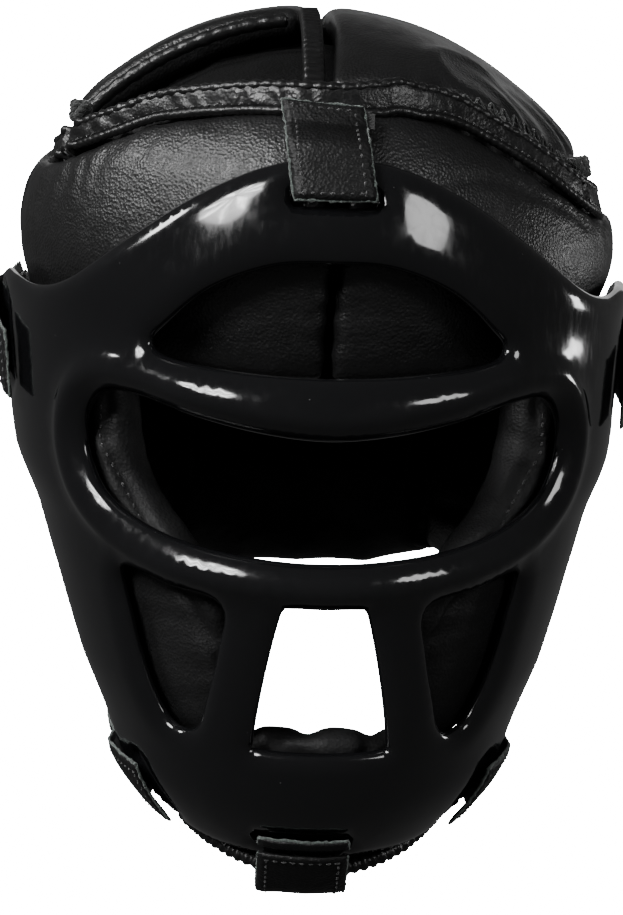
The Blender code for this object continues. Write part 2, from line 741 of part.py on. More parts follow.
def build_side_tabs(pivots):
    temple_us = [TEMPLE_START, 81, 84.5, 87, 88.5, 90, 91.5, 93, 96, TEMPLE_END]
    jaw_us = [JAW_START, 58, 64, JAW_EDGE, 72, 76, 82, JAW_END]
    for side, word in ((1, "right"), (-1, "left")):
        us = [side * angle for angle in temple_us]
        middle = TEMPLE_HEIGHT[side]
        vs = list(np.linspace(middle - 15.5, middle + 15.5, 5))
        pivot = pivots["temple_" + word]
        add_mesh("temple_tab_" + word, slab_mesh(temple_tab_surface, us, vs, 0, TAB_THICKNESS), "tab", pivot)
        us = [side * angle for angle in (92.5, 95, 97.5)]
        add_patch_pair("temple_" + word, lambda u, v: pad_at(u, v, 0), us,
                       list(np.linspace(middle - 13.0, middle + 13.0, 4)), pivot)
        us = [side * angle for angle in jaw_us]
        vs = list(np.linspace(20, 42, 4))
        pivot = pivots["jaw_" + word]
        add_mesh("jaw_tab_" + word, slab_mesh(jaw_tab_surface, us, vs, 0, TAB_THICKNESS), "tab", pivot)
        us = [side * angle for angle in (79, 82, 86)]
        add_patch_pair("jaw_" + word, lambda u, v: cage_at(u, v, JAW_STRAP_TOP), us, [23, 31, 39], pivot)


CHIN_TAB_X = -4.0
CHIN_TAB_PATH = ((-80, -3.0), (-98, -3.0), (-110.5, -2.6), (-118, 1.0), (-122.5, 6.5), (-126, 12), (-129, 18))


def chin_tab_surface(x, place):
    """Inner face of the chin tab; place 0 is its free end, the last place is at the slot."""
    y = hermite([point[0] for point in CHIN_TAB_PATH], place)
    z = hermite([point[1] for point in CHIN_TAB_PATH], place)
    upright = smooth_step((place - 1.5) / 2.0)
    return Vector((x, y + 0.011 * x * x * upright, z))


def build_chin_tab(pivot):
    us = [CHIN_TAB_X + across for across in np.linspace(-15.5, 15.5, 5)]
    vs = [0, 1, 2, 2.5, 3, 3.5, 4, 5, 6]
    add_mesh("chin_tab", slab_mesh(chin_tab_surface, us, vs, 0, TAB_THICKNESS), "tab", pivot)
    for name, top, kind, parent in (("chin_loop_patch", 0.5, "loop", None),
                                    ("chin_hook_patch", -1.5, "hook", pivot)):
        mesh = bmesh.new()
        bmesh.ops.create_cube(mesh, size=1.0)
        for vert in mesh.verts:
            vert.co = Vector((CHIN_TAB_X + 26 * vert.co.x, -98 + 12 * vert.co.y,
                              top - PATCH_THICKNESS / 2 + PATCH_THICKNESS * vert.co.z))
        add_mesh(name, mesh, kind, parent, smooth=False)


# ---------------------------------------------------------------- straps
def jaw_strap_surface(side):
    """Outer face: beside the cage at the jaw, then over the side pad's lower front corner."""
    def surface(across, height):
        cage_angle = side * math.radians(np.interp(height, (16, 50, 75, 114), (80, 84, 90, 100)))
        pad_angle = side * math.radians(np.interp(height, (60, 94, 106, 116), (68, 77, 87, 97)))
        by_cage = cage_surface(cage_angle * girth(CAGE_LEVELS, height) + across, height)
        by_pad = off_surface(pad_surface, pad_angle * girth(PAD_LEVELS, height) + across, height,
                             1.0 + STRAP_THICKNESS - JAW_STRAP_TOP)
        return by_cage.lerp(by_pad, smooth_step((height - 55) / 40))
    return surface


def build_jaw_straps():
    for side, word in ((1, "right"), (-1, "left")):
        mesh = slab_mesh(jaw_strap_surface(side), [-12, -4, 4, 12], list(np.linspace(16, 116, 11)),
                         JAW_STRAP_TOP - STRAP_THICKNESS, JAW_STRAP_TOP)
        add_mesh("jaw_strap_" + word, mesh, "leather")


REAR_HEIGHTS = (94, 104, 114, 124)
REAR_HINGE = 130.0


def build_rear_strap(pivot):
    def surface(degrees, height):
        return pad_at(degrees, height, 0)
    us = list(np.linspace(REAR_HINGE, 222, 13))
    mesh = slab_mesh(surface, us, list(REAR_HEIGHTS), TAB_LOW, TAB_LOW + STRAP_THICKNESS)
    add_mesh("rear_strap", mesh, "webbing", pivot)
    add_patch_pair("rear", surface, list(np.linspace(190, 220, 5)), [98, 109, 120], pivot)
    us = [114, 119, 124, 128.5]
    add_mesh("rear_strap_anchor", slab_mesh(surface, us, list(REAR_HEIGHTS), 1.0, 1.0 + STRAP_THICKNESS), "webbing")


CHIN_STRAP_Y = -50.0
CHIN_STRAP_HINGE = -44.0       # across the strap, where it is stitched down


def chin_strap_surface(x, across):
    """Middle of the throat strap, sagging between the jaw straps; its normal points down."""
    height = 24 - 9 * (1 - (x / 48) ** 2)
    return Vector((x, CHIN_STRAP_Y - across, height - 0.25 * across))


def build_chin_strap(pivot):
    vs = [-11, 0, 11]
    short = slab_mesh(chin_strap_surface, list(np.linspace(-8, 46, 7)), vs, -3, 0)
    add_mesh("chin_strap_short", short, "webbing")
    low = TAB_LOW
    us = list(np.linspace(CHIN_STRAP_HINGE, 24, 9))
    long = slab_mesh(chin_strap_surface, us, vs, low, low + STRAP_THICKNESS)
    add_mesh("chin_strap_long", long, "webbing", pivot)
    us = [-5, 3, 12, 20]
    loop = slab_mesh(chin_strap_surface, us, [-9, 0, 9], 0.4, 0.4 + PATCH_THICKNESS)
    add_mesh("chin_strap_loop_patch", loop, "loop")
    hook = slab_mesh(chin_strap_surface, us, [-9, 0, 9], HOOK_LOW, HOOK_LOW + PATCH_THICKNESS)
    add_mesh("chin_strap_hook_patch", hook, "hook", pivot)


# ---------------------------------------------------------------- assembly
def joint_points():
    """Working-frame points on the axis of every joint."""
    points = {"face_cage": Vector((0, -60, 150)), "top": top_tab_surface(0, TOP_TAB_START)}
    for side, word in ((1, "right"), (-1, "left")):
        points["temple_" + word] = temple_tab_surface(side * TEMPLE_START, TEMPLE_HEIGHT[side])
        points["jaw_" + word] = jaw_tab_surface(side * JAW_START, 31)
    points["chin"] = chin_tab_surface(CHIN_TAB_X, 6)
    points["rear_strap"] = pad_at(REAR_HINGE, 109, TAB_LOW)
    points["chin_strap"] = off_surface(chin_strap_surface, CHIN_STRAP_HINGE, 0, TAB_LOW + STRAP_THICKNESS / 2)
    return points


def main():
    clear_scene()
    pivots = {name: add_pivot("pivot_" + name, point) for name, point in joint_points().items()}
    build_cage(pivots["face_cage"])
    build_forehead_pads()
    build_side_pads()
    build_rear_pad()
    build_cheek_pads()
    build_linings()
    build_crown()
    build_vent_bindings()
    build_band_bindings()
    build_laces()
    build_chin()
    build_top_tab(pivots["top"])
    build_side_tabs(pivots)
    build_chin_tab(pivots["chin"])
    build_jaw_straps()
    build_rear_strap(pivots["rear_strap"])
    build_chin_strap(pivots["chin_strap"])


main()
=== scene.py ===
"""Visual model of a padded boxing headgear with a moulded face cage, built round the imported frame.

Shapes are worked out in millimetres in a working frame whose height 0 is the chin cup's lower edge, and
to_world turns them into the frame's metres.  The wearer faces -Y.
"""
import math
from functools import lru_cache

import bmesh
import bpy
import numpy as np
from mathutils import Matrix, Vector, noise
from mathutils.bvhtree import BVHTree
from mathutils.geometry import delaunay_2d_cdt


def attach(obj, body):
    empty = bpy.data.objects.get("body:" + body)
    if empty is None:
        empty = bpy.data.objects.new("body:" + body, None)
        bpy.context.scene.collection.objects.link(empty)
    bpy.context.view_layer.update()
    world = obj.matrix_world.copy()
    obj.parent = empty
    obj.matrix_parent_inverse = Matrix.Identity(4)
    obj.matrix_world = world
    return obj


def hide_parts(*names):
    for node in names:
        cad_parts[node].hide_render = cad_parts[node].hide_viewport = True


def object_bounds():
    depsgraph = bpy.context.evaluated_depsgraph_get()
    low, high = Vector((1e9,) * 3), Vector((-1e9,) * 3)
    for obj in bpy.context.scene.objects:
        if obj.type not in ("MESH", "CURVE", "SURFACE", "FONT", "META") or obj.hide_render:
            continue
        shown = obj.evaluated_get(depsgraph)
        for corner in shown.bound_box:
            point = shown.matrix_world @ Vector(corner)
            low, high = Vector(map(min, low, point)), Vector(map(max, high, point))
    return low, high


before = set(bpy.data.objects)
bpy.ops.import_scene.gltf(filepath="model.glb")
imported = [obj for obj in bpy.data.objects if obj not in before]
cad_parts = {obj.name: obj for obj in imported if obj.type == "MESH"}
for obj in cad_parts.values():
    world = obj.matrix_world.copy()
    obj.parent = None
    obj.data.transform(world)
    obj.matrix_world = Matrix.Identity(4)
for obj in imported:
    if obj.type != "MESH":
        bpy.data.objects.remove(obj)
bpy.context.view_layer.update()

NOISE_SEED = 7
noise.seed_set(NOISE_SEED)     # noise_vector otherwise takes its seed from the clock

# ---------------------------------------------------------------- driving dimensions, as in the solid model
CAVITY_CENTRE = (0.0, 8.0, 150.0)
GAP = 0.5                     # between pieces that touch
PAD_THICKNESS = 24.0
LINING_THICKNESS = 1.6
CAGE_OUTER = 4.4              # rise of the cage skin above its middle surface
CAGE_INNER = 3.0
CAGE_ROUNDING = 8.0
EYE_RIM_HEIGHT = 3.0
PATCH_THICKNESS = 1.2
PATCH_GAP = 1.1                # hooks and loops only brush each other
TAB_THICKNESS = 2.2
STRAP_THICKNESS = 3.0
SOFT_LEAN = 0.07              # the crown sits lower on the +X side
LEAN_FROM = 185.0
LEAN_OVER = 70.0
LEAN_SHIFT = 0.8

FOREHEAD_LOW = 185.0
CROWN_TOP = 304.0
CROWN_EDGE_LIFT = -2.5
CROWN_HALF_WIDTH = 109.0
CROWN_FRONT = 101.0
CROWN_REAR = 108.0
CROWN_CENTRE_Y = 12.0
CROWN_POWER = 0.76
CROWN_THICKNESS = 15.0

# height, half width, front y, rear y, y of the widest place
PAD_LEVELS = (
    (40, 84, -96, 98, 8),
    (70, 91, -104, 112, 8),
    (105, 98, -110, 121, 8),
    (150, 103, -114, 128, 8),
    (185, 106, -116, 131, 8),
    (212, 114, -118, 131, 8),
    (230, 113, -118, 129, 8),
    (249, 107, -114, 124, 8),
    (262, 97, -108, 114, 8),
    (280, 80, -97, 98, 8),
)
CAGE_LEVELS = (
    (-6, 34, -98, 0, -52),
    (12, 52, -117, 0, -50),
    (35, 70, -131, 0, -46),
    (54, 77, -136, 0, -42),
    (75, 86, -139, 0, -36),
    (105, 94.5, -140, 0, -28),
    (127, 101, -140, 0, -22),
    (145, 109, -139, 0, -15),
    (185, 113, -136, 0, -4),
    (200, 115, -133, 0, 2),
    (215, 119, -130, 0, 7),
    (230, 116, -126, 0, 8),
    (245, 110, -121, 0, 8),
    (262, 99, -114, 0, 8),
    (280, 84, -104, 0, 8),
)
CHIN_LEVELS = (
    (-8, 48, -98, 0, -50),
    (2, 50, -105, 0, -50),
    (8, 44, -104, 0, -50),
    (14, 39, -102.5, 0, -49),
    (22, 45.5, -108.5, 0, -48),
    (35, 55.5, -117, 0, -46),
    (54, 65, -124, 0, -42),
    (70, 71, -127, 0, -38),
)

# outlines as (degrees from the front, height); the first half, mirrored across the middle
CAGE_EDGE = ((0, 262), (12, 259.5), (24, 249), (36, 232), (48, 215), (60, 208), (72, 207), (81, 205),
             (87, 196), (87.5, 166), (84, 140), (80, 115), (76, 92), (73, 66), (70, 42), (60, 22),
             (42, 14), (20, 14), (0, 14.5))
BROW_EDGE = ((0, 229), (10, 227.5), (20, 219), (28, 206), (31.5, 199), (28, 194.5), (14, 192.5), (0, 192))
EYE_EDGE = ((0, 171), (11, 172.5), (23, 176), (34, 180), (42, 179), (47, 170), (48, 157), (44, 143),
            (36, 135.5), (25, 131.5), (11, 129.5), (0, 129))
MOUTH_EDGE = ((0, 113), (7, 113), (8.8, 110.5), (12.6, 88), (16.6, 62.5), (15.4, 59.8), (0, 59.5))
CHEEK_EDGE = ((21, 112), (22.6, 95), (26.5, 77), (30, 66), (35, 61.5), (40.5, 64.5), (43.6, 79), (45, 98),
              (44.5, 117), (32, 115.5))

# degrees and height of the head guard's top edge: highest just right of the middle, low at the temples
BAND_TOP = ((-180, 250), (-130, 247), (-95, 240), (-75, 243), (-60, 254), (-45, 268), (-24, 275.5), (0, 278),
            (14, 280), (30, 276.5), (44, 265), (61, 247), (78, 240), (95, 239), (130, 246), (180, 250))
BAND_TOP_LOWEST = 238.0

TEMPLE_HEIGHT = {1: 177.0, -1: 184.0}      # middle of each temple tab: they sit unevenly


# ---------------------------------------------------------------- curves and surfaces
def hermite(values, position):
    """Catmull-Rom value at a fractional index of an open list."""
    index = min(int(position), len(values) - 2)
    t = position - index
    p0 = values[max(index - 1, 0)]
    p1 = values[index]
    p2 = values[index + 1]
    p3 = values[min(index + 2, len(values) - 1)]
    m1 = (p2 - p0) / 2
    m2 = (p3 - p1) / 2
    return (p1 * (2 * t ** 3 - 3 * t ** 2 + 1) + m1 * (t ** 3 - 2 * t ** 2 + t)
            + p2 * (3 * t ** 2 - 2 * t ** 3) + m2 * (t ** 3 - t ** 2))


@lru_cache(maxsize=None)
def level_values(levels, height):
    """Half width, front, rear and centre of an oval section at a height."""
    heights = [row[0] for row in levels]
    height = min(max(height, heights[0]), heights[-1])
    position = float(np.interp(height, heights, range(len(heights))))
    return [hermite([row[column] for row in levels], position) for column in range(1, 5)]


def oval_point(levels, angle, height):
    """Point on an oval section; angle in radians, 0 at the front, positive towards +X."""
    half, front, rear, centre = level_values(levels, height)
    depth = centre - front if abs(angle) < math.pi / 2 else rear - centre
    return Vector((half * math.sin(angle), centre - depth * math.cos(angle), height))


def girth(levels, height):
    """Radius that turns an angle into a length along the section."""
    half, front, _, centre = level_values(levels, height)
    return (half + centre - front) / 2


def smooth_step(value):
    value = min(max(value, 0.0), 1.0)
    return value * value * (3 - 2 * value)


def lean(point):
    """Turn the soft crown a little towards +X, so that its +X side sits lower."""
    turn = SOFT_LEAN * smooth_step((point.z - LEAN_FROM) / LEAN_OVER)
    shift = LEAN_SHIFT * turn * max(point.z - LEAN_FROM, 0.0)
    return Vector((point.x + shift, point.y, point.z - turn * point.x))


def cage_surface(along, height):
    return oval_point(CAGE_LEVELS, along / girth(CAGE_LEVELS, height), height)


def pad_surface(along, height):
    return lean(oval_point(PAD_LEVELS, along / girth(PAD_LEVELS, height), height))


def chin_surface(along, height):
    return oval_point(CHIN_LEVELS, along / girth(CHIN_LEVELS, height), height)


@lru_cache(maxsize=None)
def band_top(angle):
    """Height of the head guard's top edge at an angle in degrees."""
    angles, heights = zip(*BAND_TOP)
    turned = (angle + 180) % 360 - 180
    return hermite(heights, float(np.interp(turned, angles, range(len(angles)))))


def crown_surface(x, y):
    depth = CROWN_FRONT if y < CROWN_CENTRE_Y else CROWN_REAR
    radius = math.hypot(x / CROWN_HALF_WIDTH, (y - CROWN_CENTRE_Y) / depth)
    base = band_top(math.degrees(math.atan2(x, CROWN_CENTRE_Y - y))) + CROWN_EDGE_LIFT
    rise = max(1 - radius * radius, 0.0) ** CROWN_POWER
    return lean(Vector((x, y, base + (CROWN_TOP - base) * rise)))


def normal_at(surface, u, v):
    step = 0.4
    along_u = surface(u + step, v) - surface(u - step, v)
    along_v = surface(u, v + step) - surface(u, v - step)
    return along_u.cross(along_v).normalized()


def off_surface(surface, u, v, distance):
    return surface(u, v) + normal_at(surface, u, v) * distance


def unroll(levels, points):
    """(degrees, height) to (length along the section, height)."""
    return [(math.radians(angle) * girth(levels, height), height) for angle, height in points]


def mirrored(half):
    """A closed loop from a half outline that starts and ends on the middle line."""
    other = [(-u, v) for u, v in reversed(half[1:-1])]
    return list(half) + other


def flip(points):
    return [(-u, v) for u, v in points]


def smooth_loop(points, spacing):
    """Even points along a closed Catmull-Rom curve, anticlockwise."""
    count = len(points)
    fine = []
    for index in range(count):
        four = [points[(index + shift) % count] for shift in (-1, 0, 1, 2)]
        for step in range(12):
            t = step / 12
            fine.append([hermite([p[axis] for p in four], 1 + t) for axis in (0, 1)])
    fine = np.array(fine + fine[:1])
    lengths = np.concatenate(([0], np.cumsum(np.hypot(*np.diff(fine, axis=0).T))))
    number = max(int(round(lengths[-1] / spacing)), 6)
    places = np.arange(number) * lengths[-1] / number
    loop = np.stack([np.interp(places, lengths, fine[:, axis]) for axis in (0, 1)], axis=1)
    area = np.sum(loop[:, 0] * np.roll(loop[:, 1], -1) - loop[:, 1] * np.roll(loop[:, 0], -1))
    return loop if area > 0 else loop[::-1]


def straight_loop(corners, spacing, corner_cut):
    """Even points along a polygon whose corners are cut round."""
    rounded = []
    count = len(corners)
    for index in range(count):
        corner = np.array(corners[index], float)
        for other in (corners[index - 1], corners[(index + 1) % count]):
            way = np.array(other, float) - corner
            length = float(np.hypot(*way))
            rounded.append(corner + way / length * min(corner_cut, 0.4 * length))
    points = []
    total = len(rounded)
    for index in range(total):
        start = rounded[index]
        end = rounded[(index + 1) % total]
        pieces = max(int(round(float(np.hypot(*(end - start))) / spacing)), 1)
        points += [start + (end - start) * k / pieces for k in range(pieces)]
    loop = np.array(points)
    area = np.sum(loop[:, 0] * np.roll(loop[:, 1], -1) - loop[:, 1] * np.roll(loop[:, 0], -1))
    return loop if area > 0 else loop[::-1]


def edge_distances(points, loops):
    """Distance from each point to the nearest edge of any loop."""
    best = np.full(len(points), 1e9)
    for loop in loops:
        for start, end in zip(loop, np.roll(loop, -1, axis=0)):
            way = end - start
            t = np.clip(((points - start) @ way) / (way @ way), 0, 1)
            best = np.minimum(best, np.hypot(*(points - start - t[:, None] * way).T))
    return best


def inside(points, loops):
    """Even-odd test against all loops together."""
    count = np.zeros(len(points), int)
    for loop in loops:
        for start, end in zip(loop, np.roll(loop, -1, axis=0)):
            crosses = (start[1] > points[:, 1]) != (end[1] > points[:, 1])
            rise = end[1] - start[1] if end[1] != start[1] else 1e-9
            reach = start[0] + (points[:, 1] - start[1]) / rise * (end[0] - start[0])
            count += crosses & (points[:, 0] < reach)
    return count % 2 == 1


def flat_area(corners):
    (x0, y0), (x1, y1), (x2, y2) = corners
    return abs((x1 - x0) * (y2 - y0) - (x2 - x0) * (y1 - y0)) / 2


def to_world(point):
    return Vector([(point[k] - CAVITY_CENTRE[k]) * 0.001 for k in range(3)])


def cage_at(degrees, height, distance):
    along = math.radians(degrees) * girth(CAGE_LEVELS, height)
    return off_surface(cage_surface, along, height, distance)


def pad_at(degrees, height, distance):
    along = math.radians(degrees) * girth(PAD_LEVELS, height)
    return off_surface(pad_surface, along, height, distance)


def slot_corners(angle, height, half_angle, half_height):
    return ((angle - half_angle, height - half_height), (angle + half_angle, height - half_height),
            (angle + half_angle, height + half_height), (angle - half_angle, height + half_height))


def inward_normals(loop):
    along = np.roll(loop, -1, axis=0) - np.roll(loop, 1, axis=0)
    along /= np.hypot(*along.T)[:, None]
    return np.stack((-along[:, 1], along[:, 0]), axis=1)


def thin_out(candidates, cells, distance):
    """Candidates that keep a distance from the points already in the cells, which they join."""
    new = []
    for point in candidates:
        column, row = int(point[0] // distance), int(point[1] // distance)
        near = [other for i in (-1, 0, 1) for j in (-1, 0, 1)
                for other in cells.get((round(distance, 4), column + i, row + j), ())]
        if any(math.hypot(point[0] - x, point[1] - y) < distance for x, y in near):
            continue
        new.append((float(point[0]), float(point[1])))
        cells.setdefault((round(distance, 4), column, row), []).append(new[-1])
    return new


def fill_points(loops, insets, spacing):
    """Points inside the loops: rows beside every edge, then an even staggered grid."""
    chosen = []
    for inset in insets:
        rows = np.concatenate([loop + inward_normals(loop) * (inset if number == 0 else -inset)
                               for number, loop in enumerate(loops)])
        rows = rows[inside(rows, loops) & (edge_distances(rows, loops) > 0.85 * inset)]
        chosen += thin_out(rows, {}, min(0.6 * spacing, 0.7 * inset + 0.5))
    low = loops[0].min(axis=0)
    high = loops[0].max(axis=0)
    grid = []
    for row, height in enumerate(np.arange(low[1] + spacing / 2, high[1], spacing * 0.87)):
        start = low[0] + spacing * (0.5 if row % 2 else 0.0)
        grid += [(u, height) for u in np.arange(start, high[0], spacing)]
    grid = np.array(grid)
    grid = grid[inside(grid, loops)]
    return chosen + [tuple(point) for point in grid[edge_distances(grid, loops) > insets[-1] + 0.5 * spacing]]


def round_profile(distances, rounding, rim):
    """Share of the full thickness at distances from the edge."""
    t = np.clip(distances / rounding, 0.0, 1.0)
    return rim + (1 - rim) * np.sqrt(1 - (1 - t) ** 2)


def shell_mesh(loops, surface, outer, inner, rounding, spacing, rim, insets, extra=None, depth=0.0):
    """Closed body over an outline with holes; its middle lies at a depth below the surface."""
    points = [tuple(point) for loop in loops for point in loop] + fill_points(loops, insets, spacing)
    edges = []
    start = 0
    for loop in loops:
        edges += [(start + k, start + (k + 1) % len(loop)) for k in range(len(loop))]
        start += len(loop)
    flat, _, faces, _, _, _ = delaunay_2d_cdt([Vector(p) for p in points], edges, [], 0, 1e-4)
    places = np.array([tuple(p) for p in flat])
    kept = inside(np.array([places[list(face)].mean(axis=0) for face in faces]), loops)
    faces = [face for face, good in zip(faces, kept) if good and flat_area(places[list(face)]) > 0.002]
    shares = round_profile(edge_distances(places, loops), rounding, rim)
    lifts = extra(places) if extra else np.zeros(len(places))
    mesh = bmesh.new()
    tops = []
    bottoms = []
    for place, share, lift in zip(places, shares, lifts):
        base = surface(*place)
        normal = normal_at(surface, *place)
        tops.append(mesh.verts.new(base + normal * (outer * share + lift - depth)))
        bottoms.append(mesh.verts.new(base - normal * (inner * share + depth)))
    sides = set()
    for face in faces:
        sides.update(zip(face, face[1:] + face[:1]))
        mesh.faces.new([tops[k] for k in face])
        mesh.faces.new([bottoms[k] for k in reversed(face)])
    for a, b in sides:
        if (b, a) not in sides:
            mesh.faces.new([tops[b], tops[a], bottoms[a], bottoms[b]])
    bmesh.ops.delete(mesh, geom=[vert for vert in mesh.verts if not vert.link_faces], context="VERTS")
    return mesh


def slab_mesh(surface, us, vs, low, high, rounding=1.0, ripple=None):
    """Closed strip over a surface with soft edges; ripple(u, v) moves both faces together."""
    mesh = bmesh.new()
    layers = []
    middle = (low + high) / 2
    for sign in (1, -1):
        grid = []
        for i, u in enumerate(us):
            row = []
            for j, v in enumerate(vs):
                edge = i in (0, len(us) - 1) or j in (0, len(vs) - 1)
                half = (high - low) / 2 * ((1 - 0.45 * rounding) if edge else 1)
                lift = ripple(u, v) if ripple else 0.0
                row.append(mesh.verts.new(off_surface(surface, u, v, middle + sign * half + lift)))
            grid.append(row)
        layers.append(grid)
    top, bottom = layers
    for i in range(len(us) - 1):
        for j in range(len(vs) - 1):
            mesh.faces.new((top[i][j], top[i + 1][j], top[i + 1][j + 1], top[i][j + 1]))
            mesh.faces.new((bottom[i][j], bottom[i][j + 1], bottom[i + 1][j + 1], bottom[i + 1][j]))
    rim = [(i, 0) for i in range(len(us))] + [(len(us) - 1, j) for j in range(1, len(vs))]
    rim += [(i, len(vs) - 1) for i in range(len(us) - 2, -1, -1)]
    rim += [(0, j) for j in range(len(vs) - 2, 0, -1)]
    for (i, j), (k, m) in zip(rim, rim[1:] + rim[:1]):
        mesh.faces.new((top[i][j], bottom[i][j], bottom[k][m], top[k][m]))
    return mesh


def add_mesh(name, mesh, look):
    """Turn a bmesh in working millimetres into a named object in the frame's metres."""
    for vert in mesh.verts:
        vert.co = to_world(vert.co)
    bmesh.ops.recalc_face_normals(mesh, faces=mesh.faces[:])
    data = bpy.data.meshes.new(name)
    mesh.to_mesh(data)
    mesh.free()
    for polygon in data.polygons:
        polygon.use_smooth = True
    made = bpy.data.objects.new(name, data)
    bpy.context.scene.collection.objects.link(made)
    data.materials.append(look)
    return made


def tube_rings(mesh, points, radii, sides):
    """Round tube with closed ends along points, its radius given at each."""
    count = len(points)
    across = None
    rings = []
    for index, point in enumerate(points):
        ahead = points[min(index + 1, count - 1)] - points[max(index - 1, 0)]
        ahead.normalize()
        if across is None:
            across = ahead.orthogonal()
        across = (across - ahead * across.dot(ahead)).normalized()
        up = ahead.cross(across)
        turns = [2 * math.pi * k / sides for k in range(sides)]
        rings.append([mesh.verts.new(point + (across * math.cos(t) + up * math.sin(t)) * radii[index])
                      for t in turns])
    for first, second in zip(rings, rings[1:]):
        for k in range(sides):
            mesh.faces.new((first[k], first[(k + 1) % sides], second[(k + 1) % sides], second[k]))
    for ring, flipped in ((rings[0], True), (rings[-1], False)):
        mesh.faces.new(ring[::-1] if flipped else ring)


def even_points(points, spacing):
    """Points at even steps along a smooth open curve through the given ones."""
    fine = []
    for index in range(len(points) - 1):
        for step in range(10):
            fine.append([hermite([p[axis] for p in points], index + step / 10) for axis in range(3)])
    fine.append(list(points[-1]))
    fine = np.array(fine)
    lengths = np.concatenate(([0], np.cumsum(np.linalg.norm(np.diff(fine, axis=0), axis=1))))
    number = max(int(round(lengths[-1] / spacing)), 2)
    places = np.linspace(0, lengths[-1], number + 1)
    return [Vector([np.interp(place, lengths, fine[:, axis]) for axis in range(3)]) for place in places]


# ---------------------------------------------------------------- materials
def new_material(name, roughness):
    made = bpy.data.materials.new(name)
    made.use_nodes = True
    nodes = made.node_tree.nodes
    shader = nodes["Principled BSDF"]
    shader.inputs["Roughness"].default_value = roughness
    return made, nodes, made.node_tree.links, shader


def coordinates(nodes, links, stretch=(1, 1, 1)):
    place = nodes.new("ShaderNodeTexCoord")
    mapping = nodes.new("ShaderNodeMapping")
    mapping.inputs["Scale"].default_value = stretch
    links.new(place.outputs["Object"], mapping.inputs["Vector"])
    return mapping.outputs["Vector"]


def noise_texture(nodes, links, vector, scale, detail, roughness=0.55):
    made = nodes.new("ShaderNodeTexNoise")
    made.inputs["Scale"].default_value = scale
    made.inputs["Detail"].default_value = detail
    made.inputs["Roughness"].default_value = roughness
    links.new(vector, made.inputs["Vector"])
    return made.outputs["Fac"]


def cell_texture(nodes, links, vector, scale):
    made = nodes.new("ShaderNodeTexVoronoi")
    made.inputs["Scale"].default_value = scale
    links.new(vector, made.inputs["Vector"])
    return made.outputs["Distance"]


def span(nodes, links, value, low, high, start=0.3, end=0.7):
    """Map a 0 to 1 value on to a range."""
    made = nodes.new("ShaderNodeMapRange")
    made.inputs["From Min"].default_value = start
    made.inputs["From Max"].default_value = end
    made.inputs["To Min"].default_value = low
    made.inputs["To Max"].default_value = high
    links.new(value, made.inputs["Value"])
    return made.outputs["Result"]


def colour_mix(nodes, links, value, dark, light, start=0.35, end=0.65):
    made = nodes.new("ShaderNodeValToRGB")
    made.color_ramp.elements[0].position = start
    made.color_ramp.elements[0].color = (*dark, 1)
    made.color_ramp.elements[1].position = end
    made.color_ramp.elements[1].color = (*light, 1)
    links.new(value, made.inputs["Fac"])
    return made.outputs["Color"]


def bump(nodes, links, height, strength, distance, below=None):
    made = nodes.new("ShaderNodeBump")
    made.inputs["Strength"].default_value = strength
    made.inputs["Distance"].default_value = distance
    links.new(height, made.inputs["Height"])
    if below is not None:
        links.new(below, made.inputs["Normal"])
    return made.outputs["Normal"]


def worn_edges(nodes, links, colour, light, strength):
    """Lighten sharp ridges, where handling polishes the surface."""
    geometry = nodes.new("ShaderNodeNewGeometry")
    mix = nodes.new("ShaderNodeMix")
    mix.data_type = "RGBA"
    mix.inputs[7].default_value = (*light, 1)
    links.new(span(nodes, links, geometry.outputs["Pointiness"], 0.0, strength, 0.52, 0.62), mix.inputs[0])
    links.new(colour, mix.inputs[6])
    return mix.outputs[2]


def leather(name, tone, low_gloss, high_gloss, grain=0.35, wrinkle=0.25, shine=0.5):
    """Pebbled coated leather: fine cells, soft wrinkles, uneven polish."""
    made, nodes, links, shader = new_material(name, (low_gloss + high_gloss) / 2)
    shader.inputs["Specular IOR Level"].default_value = shine
    vector = coordinates(nodes, links)
    cloud = noise_texture(nodes, links, vector, 38.0, 5.0)
    colour = colour_mix(nodes, links, cloud, [tone * 0.8] * 3, [tone * 1.25, tone * 1.25, tone * 1.3])
    links.new(worn_edges(nodes, links, colour, [tone * 2.6] * 3, 0.6), shader.inputs["Base Color"])
    polish = noise_texture(nodes, links, vector, 120.0, 6.0, 0.65)
    links.new(span(nodes, links, polish, low_gloss, high_gloss), shader.inputs["Roughness"])
    soft = noise_texture(nodes, links, coordinates(nodes, links, (1, 1, 1.7)), 85.0, 3.0)
    creased = bump(nodes, links, soft, wrinkle, 0.0022)
    pebbles = cell_texture(nodes, links, vector, 950.0)
    pebbled = bump(nodes, links, pebbles, grain * 1.8, 0.0003, creased)
    fine = noise_texture(nodes, links, vector, 2600.0, 2.0)
    links.new(bump(nodes, links, fine, grain * 0.6, 0.00008, pebbled), shader.inputs["Normal"])
    return made


